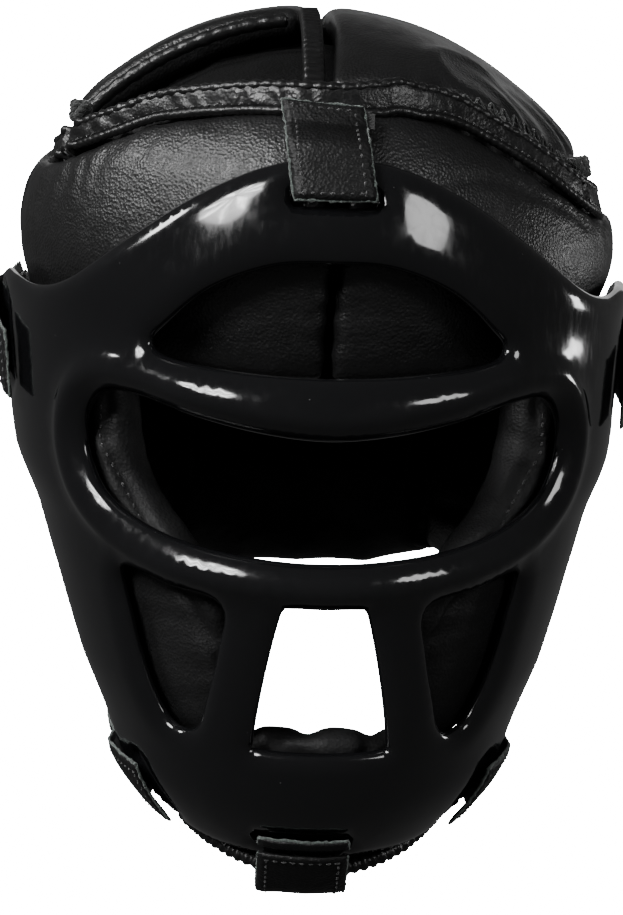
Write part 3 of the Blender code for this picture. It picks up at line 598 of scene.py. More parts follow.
def moulded_plastic(name):
    """Glossy black moulding with faint flow ripples, scuffs and dust."""
    made, nodes, links, shader = new_material(name, 0.14)
    vector = coordinates(nodes, links)
    dust = cell_texture(nodes, links, vector, 130.0)
    specks = colour_mix(nodes, links, dust, (0.10, 0.10, 0.10), (0.0055, 0.0056, 0.0062), 0.018, 0.032)
    links.new(worn_edges(nodes, links, specks, (0.03, 0.03, 0.032), 0.35), shader.inputs["Base Color"])
    scuffs = noise_texture(nodes, links, coordinates(nodes, links, (1, 1, 0.25)), 420.0, 8.0, 0.7)
    links.new(span(nodes, links, scuffs, 0.10, 0.22, 0.45, 0.75), shader.inputs["Roughness"])
    shader.inputs["Coat Weight"].default_value = 0.35
    shader.inputs["Coat Roughness"].default_value = 0.05
    ripple = noise_texture(nodes, links, vector, 26.0, 2.0)
    rippled = bump(nodes, links, ripple, 0.10, 0.0035)
    skin = noise_texture(nodes, links, vector, 900.0, 2.0)
    links.new(bump(nodes, links, skin, 0.05, 0.00006, rippled), shader.inputs["Normal"])
    return made


def fuzz(name, dark, light):
    """Raw cut edge or napped loop fabric."""
    made, nodes, links, shader = new_material(name, 0.95)
    vector = coordinates(nodes, links)
    fleck = noise_texture(nodes, links, vector, 900.0, 5.0, 0.7)
    links.new(colour_mix(nodes, links, fleck, dark, light), shader.inputs["Base Color"])
    shader.inputs["Sheen Weight"].default_value = 0.35
    shader.inputs["Sheen Roughness"].default_value = 0.6
    pile = cell_texture(nodes, links, vector, 1500.0)
    links.new(bump(nodes, links, pile, 0.8, 0.0004), shader.inputs["Normal"])
    return made


def woven(name, tone, turn):
    """Ribbed webbing."""
    made, nodes, links, shader = new_material(name, 0.7)
    vector = coordinates(nodes, links)
    ribs = nodes.new("ShaderNodeTexWave")
    ribs.bands_direction = turn
    ribs.inputs["Scale"].default_value = 260.0
    ribs.inputs["Distortion"].default_value = 1.2
    links.new(vector, ribs.inputs["Vector"])
    fleck = noise_texture(nodes, links, vector, 600.0, 5.0)
    flecked = colour_mix(nodes, links, fleck, [tone * 0.6] * 3, [tone * 1.7] * 3)
    links.new(flecked, shader.inputs["Base Color"])
    links.new(span(nodes, links, fleck, 0.6, 0.85), shader.inputs["Roughness"])
    shader.inputs["Sheen Weight"].default_value = 0.2
    ribbed = bump(nodes, links, ribs.outputs["Fac"], 0.7, 0.0004)
    links.new(bump(nodes, links, fleck, 0.4, 0.0002, ribbed), shader.inputs["Normal"])
    return made


LOOKS = {
    "leather": leather("head_leather", 0.0075, 0.34, 0.46),
    "inner": leather("inner_leather", 0.0075, 0.56, 0.70, 0.3, 0.25, 0.3),
    "binding": leather("binding_leather", 0.0055, 0.30, 0.42, 0.16, 0.35),
    "tab": leather("tab_leather", 0.0045, 0.44, 0.58, 0.4, 0.5, 0.3),
    "cage": moulded_plastic("cage_plastic"),
    "edge": fuzz("raw_edge", (0.022, 0.029, 0.025), (0.12, 0.15, 0.135)),
    "hook": fuzz("hook_pile", (0.006, 0.006, 0.006), (0.03, 0.03, 0.03)),
    "loop": fuzz("loop_pile", (0.01, 0.01, 0.01), (0.04, 0.04, 0.04)),
    "thread": fuzz("sewing_thread", (0.003, 0.003, 0.003), (0.02, 0.02, 0.021)),
    "cord": fuzz("lace_cord", (0.003, 0.0035, 0.003), (0.012, 0.014, 0.013)),
    "lining": leather("lining_cloth", 0.003, 0.65, 0.85, 0.6, 0.5, 0.2),
    "webbing": woven("strap_webbing", 0.016, "Z"),
}


# ---------------------------------------------------------------- riding and simulation
def settle(piece, body, slot, *nodes):
    """Ride on a body and stand for the CAD nodes, which are hidden; slot is not used."""
    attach(piece, body)
    if nodes:
        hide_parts(*nodes)


SIM_FRAMES = 20
PRESSURE = 4.0
CLOTH_QUALITY = 4
CLOTH_STIFFNESS = 12.0
CLOTH_BENDING = 1.5
waiting = []


def wait_to_inflate(piece, cap, after):
    """Queue a pad for the shared cloth run; after(point, normal) then adds its seams and folds."""
    waiting.append((piece, cap * 0.001, after))


def inflate_all():
    """Blow every queued pad up inside its seams, keep the result and hold it near its start."""
    scene = bpy.context.scene
    scene.frame_start = 1
    scene.frame_end = SIM_FRAMES
    rests = {}
    for piece, cap, after in waiting:
        rests[piece.name] = np.array([tuple(vert.co) for vert in piece.data.vertices])
        cloth = piece.modifiers.new("Cloth", "CLOTH")
        cloth.settings.quality = CLOTH_QUALITY
        cloth.settings.use_pressure = True
        cloth.settings.uniform_pressure_force = PRESSURE
        cloth.settings.effector_weights.gravity = 0.0
        cloth.settings.tension_stiffness = CLOTH_STIFFNESS
        cloth.settings.compression_stiffness = CLOTH_STIFFNESS
        cloth.settings.bending_stiffness = CLOTH_BENDING
        cloth.point_cache.frame_start = 1
        cloth.point_cache.frame_end = SIM_FRAMES
    for number in range(1, SIM_FRAMES + 1):
        scene.frame_set(number)
    graph = bpy.context.evaluated_depsgraph_get()
    for piece, cap, after in waiting:
        rest = rests[piece.name]
        blown = rest
        shape = piece.evaluated_get(graph).to_mesh()
        blown = np.array([tuple(vert.co) for vert in shape.vertices])
        piece.modifiers.remove(piece.modifiers["Cloth"])
        move = blown - rest
        size = np.linalg.norm(move, axis=1)
        move *= np.minimum(1.0, cap / np.maximum(size, 1e-9))[:, None]
        for vert, place in zip(piece.data.vertices, rest + move):
            vert.co = place
        finish = piece.modifiers.new("Smooth", "SUBSURF")
        finish.levels = 1
    graph = bpy.context.evaluated_depsgraph_get()
    for piece, cap, after in waiting:
        fine = bpy.data.meshes.new_from_object(piece.evaluated_get(graph))
        piece.modifiers.clear()
        piece.data = fine
        shifts = [after(working(vert.co), vert.normal) for vert in fine.vertices]
        for vert, shift in zip(fine.vertices, shifts):
            vert.co += shift * 0.001
    scene.frame_set(1)


def working(place):
    """World metres back to working millimetres."""
    return Vector([place[k] * 1000 + CAVITY_CENTRE[k] for k in range(3)])


def bearing(point):
    """Degrees round the head, 0 at the front, positive towards +X."""
    return math.degrees(math.atan2(point.x, 8.0 - point.y))


# ---------------------------------------------------------------- stitches and raw edges
STITCH_LENGTH = 2.3
STITCH_WIDTH = 0.42


def stitches(name, places, body, slot):
    """Thread stitches: places is a list of (point, direction, normal) in working millimetres."""
    mesh = bmesh.new()
    for point, way, normal in places:
        way = way.normalized()
        side = normal.cross(way).normalized() * STITCH_WIDTH
        ends = [point - way * STITCH_LENGTH / 2, point + way * STITCH_LENGTH / 2]
        crown = point + normal * STITCH_WIDTH * 0.9
        quarter = way * STITCH_LENGTH * 0.25
        ring = [ends[0], point - quarter + side, point + quarter + side, ends[1],
                point + quarter - side, point - quarter - side]
        base = [mesh.verts.new(corner - normal * 0.25) for corner in ring]
        top = mesh.verts.new(crown)
        low = mesh.verts.new(point - normal * 0.5)
        for k in range(6):
            mesh.faces.new((base[k], base[(k + 1) % 6], top))
            mesh.faces.new((base[(k + 1) % 6], base[k], low))
    made = add_mesh(name, mesh, LOOKS["thread"])
    settle(made, body, slot)
    return made


def stitch_places(surface, path, lift, pitch=3.4):
    """Stitch places at an even pitch along (u, v) points over a surface."""
    places = []
    points = [off_surface(surface, u, v, lift) for u, v in path]
    carried = 0.0
    for (u, v), (u2, v2), start, end in zip(path, path[1:], points, points[1:]):
        length = (end - start).length
        if length < 1e-6:
            continue
        spot = carried
        while spot < length:
            t = spot / length
            normal = normal_at(surface, u + (u2 - u) * t, v + (v2 - v) * t)
            places.append((start.lerp(end, t), end - start, normal))
            spot += pitch
        carried = spot - length
    return places


def raw_edge(name, surface, path, lift, thickness, body, seed):
    """Frayed cut edge: an uneven roll with short fibres standing out of it."""
    mesh = bmesh.new()
    points = even_points([off_surface(surface, u, v, lift) for u, v in path], 1.0)
    radii = [thickness * (0.42 + 0.22 * noise.noise(point * 0.9 + Vector((seed, 0, 0)))) for point in points]
    wander = [point + noise.noise_vector(point * 0.6 + Vector((seed, 3, 0))) * 0.45 for point in points]
    tube_rings(mesh, wander, radii, 6)
    for index, point in enumerate(wander[1:-1]):
        for strand in range(2):
            way = noise.noise_vector(point * 1.7 + Vector((seed + strand * 7, index, 0)))
            if way.length < 1e-3:
                continue
            reach = abs(noise.noise(point * 2.3 + Vector((seed, strand, 9))))
            tip = point + way.normalized() * (0.9 + 1.1 * reach)
            side = way.orthogonal().normalized() * 0.12
            corners = [mesh.verts.new(point + side), mesh.verts.new(point - side), mesh.verts.new(tip)]
            back = mesh.verts.new(point + way.cross(side).normalized() * 0.12)
            mesh.faces.new(corners)
            mesh.faces.new((corners[1], corners[0], back))
            mesh.faces.new((corners[0], corners[2], back))
            mesh.faces.new((corners[2], corners[1], back))
    made = add_mesh(name, mesh, LOOKS["edge"])
    settle(made, body, "tab")
    return made


# ---------------------------------------------------------------- the face cage
TOP_SLOT = slot_corners(0, 249.5, 7.6, 2.6)
CHIN_SLOT = slot_corners(-4.5, 23.5, 14.5, 2.4)
TEMPLE_SLOT_ANGLE = 77
JAW_SLOT = ((49.5, 20.5), (53.5, 20.5), (58.5, 43), (54.5, 43))


def make_cage():
    step = 2.4
    outline = smooth_loop(mirrored(unroll(CAGE_LEVELS, CAGE_EDGE)), step)
    eye = smooth_loop(mirrored(unroll(CAGE_LEVELS, EYE_EDGE)), step)
    loops = [outline, eye]
    for edge in (BROW_EDGE, MOUTH_EDGE):
        loops.append(smooth_loop(mirrored(unroll(CAGE_LEVELS, edge)), step))
    cheek = unroll(CAGE_LEVELS, CHEEK_EDGE)
    loops += [smooth_loop(cheek, step), smooth_loop(flip(cheek), step)]
    for slot in (TOP_SLOT, CHIN_SLOT):
        loops.append(straight_loop(unroll(CAGE_LEVELS, slot), step, 1.2))
    for side in (1, -1):
        temple = slot_corners(side * TEMPLE_SLOT_ANGLE, TEMPLE_HEIGHT[side], 1.5, 16)
        jaw = JAW_SLOT if side > 0 else flip(JAW_SLOT)
        loops += [straight_loop(unroll(CAGE_LEVELS, slot), step, 1.2) for slot in (temple, jaw)]

    def eye_rim(places):
        return EYE_RIM_HEIGHT * np.exp(-((edge_distances(places, [eye]) - 8.0) / 5.0) ** 2)

    mesh = shell_mesh(loops, cage_surface, CAGE_OUTER, CAGE_INNER, CAGE_ROUNDING, 4.6, 0.12,
                      (0.5, 1.4, 2.8, 4.6, 6.8, 9.3, 12.2, 15.4), eye_rim)
    cage = add_mesh("face_cage_moulding", mesh, LOOKS["cage"])
    settle(cage, "face_cage", "cage", "face_cage")


# ---------------------------------------------------------------- pads
def pad_middle(along, height):
    return off_surface(pad_surface, along, height, -PAD_THICKNESS / 2)


def pad_outline(angles_heights, spacing, corner):
    """Outline whose upright edges keep one angle while the girth changes with height."""
    scale = math.radians(1) * girth(PAD_LEVELS, 200)
    loop = straight_loop([(angle * scale, height) for angle, height in angles_heights], spacing, corner)
    return np.array(unroll(PAD_LEVELS, [(u / scale, v) for u, v in loop]))


def crown_ring(angle, share):
    """Plan point at a share of the crown's radius; 0 degrees is the front."""
    turn = math.radians(angle)
    depth = CROWN_FRONT if abs(angle) < 90 else CROWN_REAR
    return (share * CROWN_HALF_WIDTH * math.sin(turn), CROWN_CENTRE_Y - share * depth * math.cos(turn))


def stuffed(name, node, outline, surface, depth, thickness, rounding, inset, after, cap=2.6, drop=2.0,
            step=4.4, look="leather", rim=0.3):
    """One padded piece, started a little small and queued for the cloth run."""
    loop = outline + inward_normals(outline) * inset
    mesh = shell_mesh([loop], surface, thickness / 2 - drop, thickness / 2 - 0.8, rounding, step, rim,
                      (1.6, 4.4), depth=depth)
    piece = add_mesh(name, mesh, LOOKS[look])
    settle(piece, "head_guard", "leather", node)
    wait_to_inflate(piece, cap, after)
    return piece


def soft_dents(size, seed):
    """Broad unevenness of foam under leather."""
    def after(point, normal):
        return normal * (size * noise.noise(point * 0.028 + Vector((seed, 0, 0))))
    return after


def forehead_folds(side):
    """Puckers along the middle seam, gathers under the band and one long thin crease on the right."""
    def after(point, normal):
        angle = bearing(point)
        lift = 0.7 * noise.noise(point * 0.028 + Vector((side * 5, 0, 0)))
        seam = math.exp(-abs(point.x) / 7.0)
        lift += 0.45 * seam * math.sin(point.z * 0.62 + 2 * noise.noise(point * 0.08))
        below = band_top(angle) - point.z
        gather = math.exp(-((below - 12) / 9.0) ** 2) * smooth_step((abs(angle) - 20) / 20)
        lift += 0.3 * gather * math.sin(angle * 0.9 + 4 * noise.noise(point * 0.05))
        if side > 0:
            crease = 27 - 0.18 * (angle - 12) + 1.5 * noise.noise(point * 0.05)
            reach = smooth_step((angle - 10) / 8) * smooth_step((62 - angle) / 10)
            lift -= 0.9 * reach * math.exp(-((below - crease) / 1.8) ** 2)
        return normal * lift
    return after


def side_folds(side):
    """Loose skin at the lower front, deeper on the left where the pad bulges out."""
    def after(point, normal):
        low = smooth_step((142 - point.z) / 22) * smooth_step((point.z - 78) / 16)
        lift = 0.7 * noise.noise(point * 0.028 + Vector((side * 9, 0, 0)))
        wave = math.sin(point.z * 0.42 + 0.05 * point.y + 3.0 * noise.noise(point * 0.035))
        size = 1.7 if side < 0 else 0.8
        return normal * (lift + size * low * wave * 0.6 + (1.2 * low if side < 0 else 0.0))
    return after


def cheek_seam(height):
    """Distance from the middle of the seam down each cheek pad."""
    return 76 - 0.6 * max(158 - height, 0.0)


def cheek_folds(side):
    """A sewn channel down each cheek pad, and soft wrinkles beside it."""
    def after(point, normal):
        channel = abs(point.x) - cheek_seam(point.z)
        lift = -1.8 * math.exp(-(channel / 2.6) ** 2)
        lift += 0.5 * math.sin(point.z * 0.5 + 4 * noise.noise(point * 0.05)) * math.exp(-abs(channel) / 9.0)
        return normal * (lift + 0.6 * noise.noise(point * 0.03 + Vector((side * 3, 0, 0))))
    return after


def crown_folds(seed):
    """Pulled leather: wrinkles run in from the sewn rim."""
    def after(point, normal):
        turn = math.atan2(point.x, CROWN_CENTRE_Y - point.y)
        radius = math.hypot(point.x / CROWN_HALF_WIDTH, (point.y - CROWN_CENTRE_Y) / CROWN_REAR)
        near_rim = smooth_step((radius - 0.62) / 0.25)
        lift = 0.8 * noise.noise(point * 0.025 + Vector((seed, 0, 0)))
        lift += 0.5 * near_rim * math.sin(turn * 34 + 4 * noise.noise(point * 0.04))
        fold = math.hypot(point.x - 62, point.y + 52) - 24
        lift += (1.8 * math.exp(-(fold / 5.0) ** 2) * smooth_step((point.y + 74) / 18)
                 * smooth_step((70 - point.x) / 16))
        return normal * lift
    return after


def chin_folds(point, normal):
    """Wrinkled upper edge, as the binding gathers it."""
    high = smooth_step((point.z - 40) / 16)
    low = smooth_step((16 - point.z) / 10)
    turn = math.atan2(point.x, -48 - point.y)
    wave = math.sin(turn * 19 + 3.5 * noise.noise(point * 0.07))
    lift = 0.5 * noise.noise(point * 0.04) + (1.3 * high + 0.6 * low) * wave
    return normal * lift


def make_pads():
    seam = 0.28
    edge = 84.0
    step = 4.4
    half_pad = PAD_THICKNESS / 2
    for side, word in ((1, "right"), (-1, "left")):
        turns = (seam, 8, 14, 21, 28, 35, 42, 48, 54, 61, 68, 76, edge)
        top = [(angle, band_top(side * angle)) for angle in turns]
        low = [(edge, FOREHEAD_LOW + 6), (60, FOREHEAD_LOW), (30, FOREHEAD_LOW), (seam, FOREHEAD_LOW)]
        outline = pad_outline([(side * angle, height) for angle, height in top + low], step, 2.0)
        stuffed("forehead_" + word, "forehead_pad_" + word, outline, pad_surface, half_pad,
                PAD_THICKNESS, 7.0, inset=0.3, drop=1.6, after=forehead_folds(side), rim=0.55)
        top = [(angle, band_top(side * angle) - 1) for angle in (85.4, 96, 110, 122, 134.6)]
        corners = top + [(134.6, 150), (134.4, 66), (112, 62), (92, 74), (85.2, 120), (85.2, 170)]
        outline = pad_outline([(side * angle, height) for angle, height in corners], step, 3.0)
        stuffed("side_" + word, "side_pad_" + word, outline, pad_surface, half_pad, PAD_THICKNESS, 11.0,
                cap=3.4 if side < 0 else 2.6, inset=0.4, after=side_folds(side))
        corners = [(27, 51), (23, 84), (21.5, 112), (31, 126), (40, 140), (44, 160), (46, 184), (78, 188),
                   (80.5, 150), (77, 116), (73, 90), (70, 62), (50, 51)]
        outline = straight_loop(unroll(CAGE_LEVELS, [(side * a, h) for a, h in corners]), step, 5.0)
        stuffed("cheek_" + word, "cheek_pad_" + word, outline, cage_surface, CAGE_INNER + 12.0, 19.0, 9.0,
                cap=2.4, inset=0.2, drop=1.5, look="inner", after=cheek_folds(side))
    half = [(180, 49.5), (157, 52), (135.6, 64), (135.4, 150)]
    half += [(angle, band_top(angle) - 1) for angle in (135.4, 160, 180)]
    full = half + [(360 - angle, height) for angle, height in reversed(half[1:-1])]
    stuffed("rear_body", "rear_pad", pad_outline(full, step, 3.0), pad_surface, half_pad, PAD_THICKNESS, 11.0,
            inset=0.2, after=soft_dents(0.9, 2.0), look="inner")
    rim = 0.915
    panels = {
        "crown_main": ("crown_main_panel", [(-6, -78)] + [crown_ring(a, rim) for a in
                       (8, 16, 25, 35, 45, 55, 65, 75, 85, 92, 100)] + [(-6, 24)]),
        "crown_left": ("crown_left_panel", [crown_ring(a, rim) for a in (-84, -92, -100, -110, -120)] +
                       [(-7.5, 62), (-7.5, 25), (-15, 3)]),
        "crown_rear": ("crown_rear_panel", [crown_ring(a, rim) for a in
                                            (101.5, 110, 120, 130, 140, 150, 160, 170)]
                       + [(0, 12 + rim * CROWN_REAR)]
                       + [crown_ring(a, rim) for a in (-170, -160, -150, -140, -130, -121.5)]
                       + [(-6, 63.6), (-6, 25.6)]),
    }
    for seed, (name, (node, corners)) in enumerate(panels.items()):
        stuffed(name, node, straight_loop(corners, step, 2.0), crown_surface, 7.5, CROWN_THICKNESS, 8.0,
                inset=1.0, after=crown_folds(seed * 4.0))
    corners = [(-66, 6), (-34, 2), (0, 1), (34, 2), (66, 6), (64, 22), (58, 42), (36, 57), (16, 63), (0, 64),
               (-16, 63), (-36, 57), (-58, 42), (-64, 22)]
    outline = straight_loop(unroll(CHIN_LEVELS, corners), 3.2, 4.0)
    stuffed("chin_body", "chin_cup", outline, chin_surface, 0.0, 15.0, 7.0, cap=2.4, inset=1.2, step=3.4,
            look="inner", after=chin_folds)


def make_cheek_stitches():
    """Thread along the seam of each cheek pad, laid on the finished skin."""
    for side, word in ((1, "right"), (-1, "left")):
        data = bpy.data.objects["cheek_" + word].data
        tree = BVHTree.FromPolygons([vert.co for vert in data.vertices],
                                    [tuple(polygon.vertices) for polygon in data.polygons])
        places = []
        last = None
        for height in np.arange(112, 172, 3.2):
            start = Vector((side * (cheek_seam(height) + 2.0), -150, height))
            hit, normal, _, _ = tree.ray_cast(to_world(start), Vector((0, 1, 0)))
            if hit is not None:
                point = working(hit) + normal * 0.2
                if last is not None and (point - last).length < 12:
                    places.append((point, point - last, normal))
                last = point
        stitches("cheek_stitches_" + word, places, "head_guard", "leather")


def make_pad_seams():
    """Piping in the seams in front of and behind each side pad."""
    for side, word in ((1, "right"), (-1, "left")):
        for place, degrees, low in (("rear", 135, 66), ("front", 84.7, 192)):
            heights = np.linspace(low, band_top(side * degrees) - 6, 40)
            path = [pad_at(side * degrees, height, -13.0) for height in heights]
            gathered_roll("%s_piping_%s" % (place, word), path, 5.0, "head_guard", "leather", "inner",
                          9.0, 0.05)


def make_linings():
    depth = -PAD_THICKNESS - 1.3
    low = depth - LINING_THICKNESS
    radius = girth(PAD_LEVELS, 212)

    def inner_surface(angle_length, height):
        return lean(oval_point(PAD_LEVELS, angle_length / radius, height))

    def quilted(u, v):
        return 0.35 * math.sin(u * 0.45 + 1.5 * noise.noise(Vector((u, v, 0)) * 0.05)) * math.cos(v * 0.40)

    parts = {
        "forehead_lining": ((-80, 80), (FOREHEAD_LOW + 8, BAND_TOP_LOWEST - 8)),
        "side_lining_right": ((88, 131), (96, 230)),
        "side_lining_left": ((-131, -88), (96, 230)),
        "rear_lining": ((140, 220), (92, 232)),
    }
    for name, (angles, heights) in parts.items():
        drop = 1.2 if name.startswith("side") else 0.0
        us = list(np.arange(math.radians(angles[0]) * radius, math.radians(angles[1]) * radius, 3.0))
        vs = list(np.arange(heights[0], heights[1], 3.0))
        mesh = slab_mesh(inner_surface, us, vs, low - drop, depth - drop, 1.0, quilted)
        made = add_mesh(name + "_cloth", mesh, LOOKS["lining"])
        settle(made, "head_guard", "lining", name)
    outline = straight_loop([crown_ring(a, 0.80) for a in range(-180, 180, 10)], 4.0, 1.0)

    def sag(places):
        return np.array([0.8 * noise.noise(Vector((x * 0.09, y * 0.05, 2))) for x, y in places])

    mesh = shell_mesh([outline], crown_surface, -CROWN_THICKNESS - 1.8,
                      CROWN_THICKNESS + 1.8 + LINING_THICKNESS, 1.0, 4.5, 1.0, (1.5, 4.0), sag)
    made = add_mesh("crown_lining_cloth", mesh, LOOKS["lining"])
    settle(made, "head_guard", "lining", "crown_lining")


# ---------------------------------------------------------------- bindings and laces
def gathered_roll(name, path, radius, body, slot, look, pitch, depth, nodes=()):
    """Rolled leather edge, pinched at an uneven pitch by its stitching."""
    mesh = bmesh.new()
    points = even_points(path, 0.8)
    radii = []
    for index, point in enumerate(points):
        phase = index * 0.8 / pitch * 2 * math.pi + 2.2 * noise.noise(point * 0.07)
        radii.append(radius * (1 - depth * 0.5 + depth * math.sin(phase) + 0.08 * noise.noise(point * 0.2)))
    radii[0] = radii[-1] = radius * 0.6
    tube_rings(mesh, points, radii, 12)
    made = add_mesh(name, mesh, LOOKS[look])
    settle(made, body, slot, *nodes)
    return made


@lru_cache(maxsize=None)
def band_point(angle, out, up):
    height = band_top(angle)
    along = math.radians(angle) * girth(PAD_LEVELS, height)
    return off_surface(pad_middle, along, height, out) + Vector((0, 0, up))


BAND_REACH = 80.0


def tuck(angle):
    """How far the band's ends draw in."""
    return 5.0 * smooth_step((abs(angle) - 62) / 18)


def make_bindings():
    angles = list(np.linspace(-BAND_REACH, BAND_REACH, 81))
    gathered_roll("band_roll_upper", [band_point(a, 8.4 - tuck(a), 7.4) for a in angles], 1.9,
                  "head_guard", "binding", "binding", 4.6, 0.14, nodes=("band_binding_upper",))
    gathered_roll("band_roll_lower", [band_point(a, 11.2 - tuck(a), -2.4) for a in angles], 1.7,
                  "head_guard", "binding", "binding", 3.0, 0.08, nodes=("band_binding_lower",))

    def strip_surface(angle, across):
        inset = tuck(angle)
        outs = [11.4 - inset, 10.4 - inset, 8.6 - inset, 1.0]
        ups = [-2.4, 2.4, 7.0, 9.0]
        return band_point(angle, 0, 0) + (band_point(angle, 1, 0) - band_point(angle, 0, 0)) * hermite(
            outs, across * 3) + Vector((0, 0, hermite(ups, across * 3)))

    def strip_wrinkles(angle, across):
        size = 0.4 if angle < -8 else 0.1
        wave = math.sin(angle * 1.1 + 6 * across + 5 * noise.noise(Vector((angle * 0.16, across * 2, 4))))
        return size * wave * math.sin(math.pi * min(across * 1.5, 1.0))

    mesh = slab_mesh(strip_surface, list(np.linspace(-BAND_REACH, BAND_REACH, 260)),
                     list(np.linspace(0, 1, 13)), -0.6, 0.9, 1.0, strip_wrinkles)
    made = add_mesh("band_strip", mesh, LOOKS["binding"])
    settle(made, "head_guard", "binding")
    path = [(angle, 0.16) for angle in np.linspace(1 - BAND_REACH, BAND_REACH - 1, 160)]
    stitches("band_stitches", stitch_places(strip_surface, path, 1.0, 3.2), "head_guard", "binding")

    def closing_surface(angle, across):
        """Leather skin that joins the top of the pads to the crown all the way round."""
        start = band_point(angle, 3.0, -7.0)
        x, y = crown_ring(angle, 0.90)
        rim = off_surface(crown_surface, x, y, -6.0)
        x, y = crown_ring(angle, 0.78)
        under = off_surface(crown_surface, x, y, -CROWN_THICKNESS - 1.0)
        if across < 0.6:
            return start.lerp(rim, across / 0.6)
        return rim.lerp(under, (across - 0.6) / 0.4)

    def closing_gathers(angle, across):
        wave = math.sin(angle * 0.9 + 3 * noise.noise(Vector((angle * 0.05, across, 7))))
        return 0.9 * wave * math.sin(math.pi * across)

    mesh = slab_mesh(closing_surface, list(np.linspace(-180, 180, 300)), list(np.linspace(0, 1, 16)),
                     -0.6, 0.6, 1.0, closing_gathers)
    made = add_mesh("crown_joining_skin", mesh, LOOKS["inner"])
    settle(made, "head_guard", "leather")

    def ribs(u, v):
        return 0.45 * math.sin(v * 1.45 + 0.6 * math.sin(u * 0.5) + noise.noise(Vector((u, v, 1)) * 0.1))

    mesh = slab_mesh(crown_surface, list(np.linspace(-15.5, -7.5, 9)), list(np.linspace(-78, 0, 120)),
                     -6.0, -1.0, 1.6, ribs)
    made = add_mesh("vent_ribbed_edge", mesh, LOOKS["binding"])
    settle(made, "head_guard", "binding", "vent_binding_front")
    start = Vector(crown_ring(-82, 0.90))
    end = Vector((-20, 0))
    path = []
    for step in range(24):
        x, y = start.lerp(end, step / 23)
        path.append(off_surface(crown_surface, x, y - 4.5, -5.0))
    gathered_roll("vent_roll", path, 2.6, "head_guard", "binding", "binding", 6.0, 0.05,
                  nodes=("vent_binding_rear",))


LACE_ANGLE = 70.0
LACE_OUT = 5.0
LACE_LIFT = 14.0


def braided(mesh, points, spread, radius, pitch):
    """Three strands wound round each other along points."""
    for strand in range(3):
        way = []
        for index, point in enumerate(points):
            ahead = points[min(index + 1, len(points) - 1)] - points[max(index - 1, 0)]
            ahead.normalize()
            square = ahead.orthogonal() if index == 0 else across - ahead * across.dot(ahead)
            across = square.normalized()
            up = ahead.cross(across)
            turn = 2 * math.pi * (index * 0.7 / pitch + strand / 3)
            way.append(point + (across * math.cos(turn) + up * math.sin(turn)) * spread)
        tube_rings(mesh, way, [radius] * len(way), 7)


def make_laces():
    """A knotted cord end at each end of the band's top seam."""
    for side, word in ((1, "right"), (-1, "left")):
        centre = band_point(side * LACE_ANGLE, LACE_OUT, 0) + Vector((0, 0, LACE_LIFT))
        path = []
        for step in range(25):
            turn = step / 24 * 2 * math.pi
            path.append(centre + Vector((side * (2.8 * math.sin(2 * turn) - 4.0), 3.0 + 3.5 * math.cos(turn),
                                         2.6 * math.sin(3 * turn) + 2.0)))
        mesh = bmesh.new()
        braided(mesh, even_points(path, 0.7), 0.8, 0.95, 6.0)
        made = add_mesh("lace_knot_" + word, mesh, LOOKS["cord"])
        settle(made, "head_guard", "cord", "crown_lace_" + word)


def make_crown_lacing():
    """Cord laced over the open seam between the crown and the band."""
    mesh = bmesh.new()
    path = []
    for number, angle in enumerate(np.arange(20, 68, 1.7)):
        share = 0.905 if number % 2 else 0.94
        x, y = crown_ring(angle, share)
        path.append(off_surface(crown_surface, x, y, -0.6 if number % 2 else -2.4))
    braided(mesh, even_points(path, 0.7), 0.32, 0.36, 4.0)
    made = add_mesh("crown_lacing", mesh, LOOKS["cord"])
    settle(made, "head_guard", "cord")


def make_chin_binding():
    path = []
    for angle in np.linspace(-58, 58, 60):
        height = 4.2 + 2.4 * abs(angle / 62) ** 2
        along = math.radians(angle) * girth(CHIN_LEVELS, height)
        path.append(off_surface(chin_surface, along, height, 10.9))
    gathered_roll("chin_roll", path, 3.1, "head_guard", "binding", "binding", 3.6, 0.14,
                  nodes=("chin_cup_binding",))


# ---------------------------------------------------------------- tabs and straps
PATCH_CLEAR = 0.9
HOOK_LOW = PATCH_CLEAR + PATCH_THICKNESS + PATCH_GAP
TAB_LOW = HOOK_LOW + PATCH_THICKNESS + GAP
CAGE_CLEAR = CAGE_OUTER + 0.8
JAW_STRAP_TOP = -CAGE_INNER - GAP
TOP_TAB_START = 248.0
TOP_TAB_TILT = 0.15
TEMPLE_FRONT, TEMPLE_START, TEMPLE_EDGE, TEMPLE_END = 68.0, 77.5, 87.0, 99.5
JAW_START, JAW_EDGE, JAW_END = 53.0, 69.0, 88.0


def top_pad_surface(x, height):
    degrees = math.degrees(math.asin(x / level_values(PAD_LEVELS, height)[0]))
    return pad_at(degrees, height, 0)


def top_tab_surface(across, height):
    x = across - TOP_TAB_TILT * (height - TOP_TAB_START)
    degrees = math.degrees(math.asin(x / level_values(CAGE_LEVELS, height)[0]))
    on_cage = cage_at(degrees, height, CAGE_CLEAR)
    on_pad = off_surface(top_pad_surface, x, height, TAB_LOW)
    point = on_cage.lerp(on_pad, smooth_step((height - 264.0) / 5.0))
    return Vector((x, point.y, point.z))


def temple_tab_surface(degrees, height):
    on_cage = cage_at(degrees, height, CAGE_CLEAR)
    on_pad = pad_at(degrees, height, TAB_LOW)
    return on_cage.lerp(on_pad, smooth_step((abs(degrees) - TEMPLE_EDGE) / 5.0))


def temple_flap(middle):
    """The tab's leather: its free front end stands off the cage and hangs lower."""
    def surface(degrees, height):
        ahead = smooth_step((TEMPLE_EDGE - abs(degrees)) / (TEMPLE_EDGE - TEMPLE_FRONT))
        across = (height - middle) * (1 - 0.25 * ahead) - 6.5 * ahead
        place = temple_tab_surface(degrees, middle + across)
        away = place - Vector((0, 8.0, place.z))
        return place + away.normalized() * 3.0 * ahead
    return surface


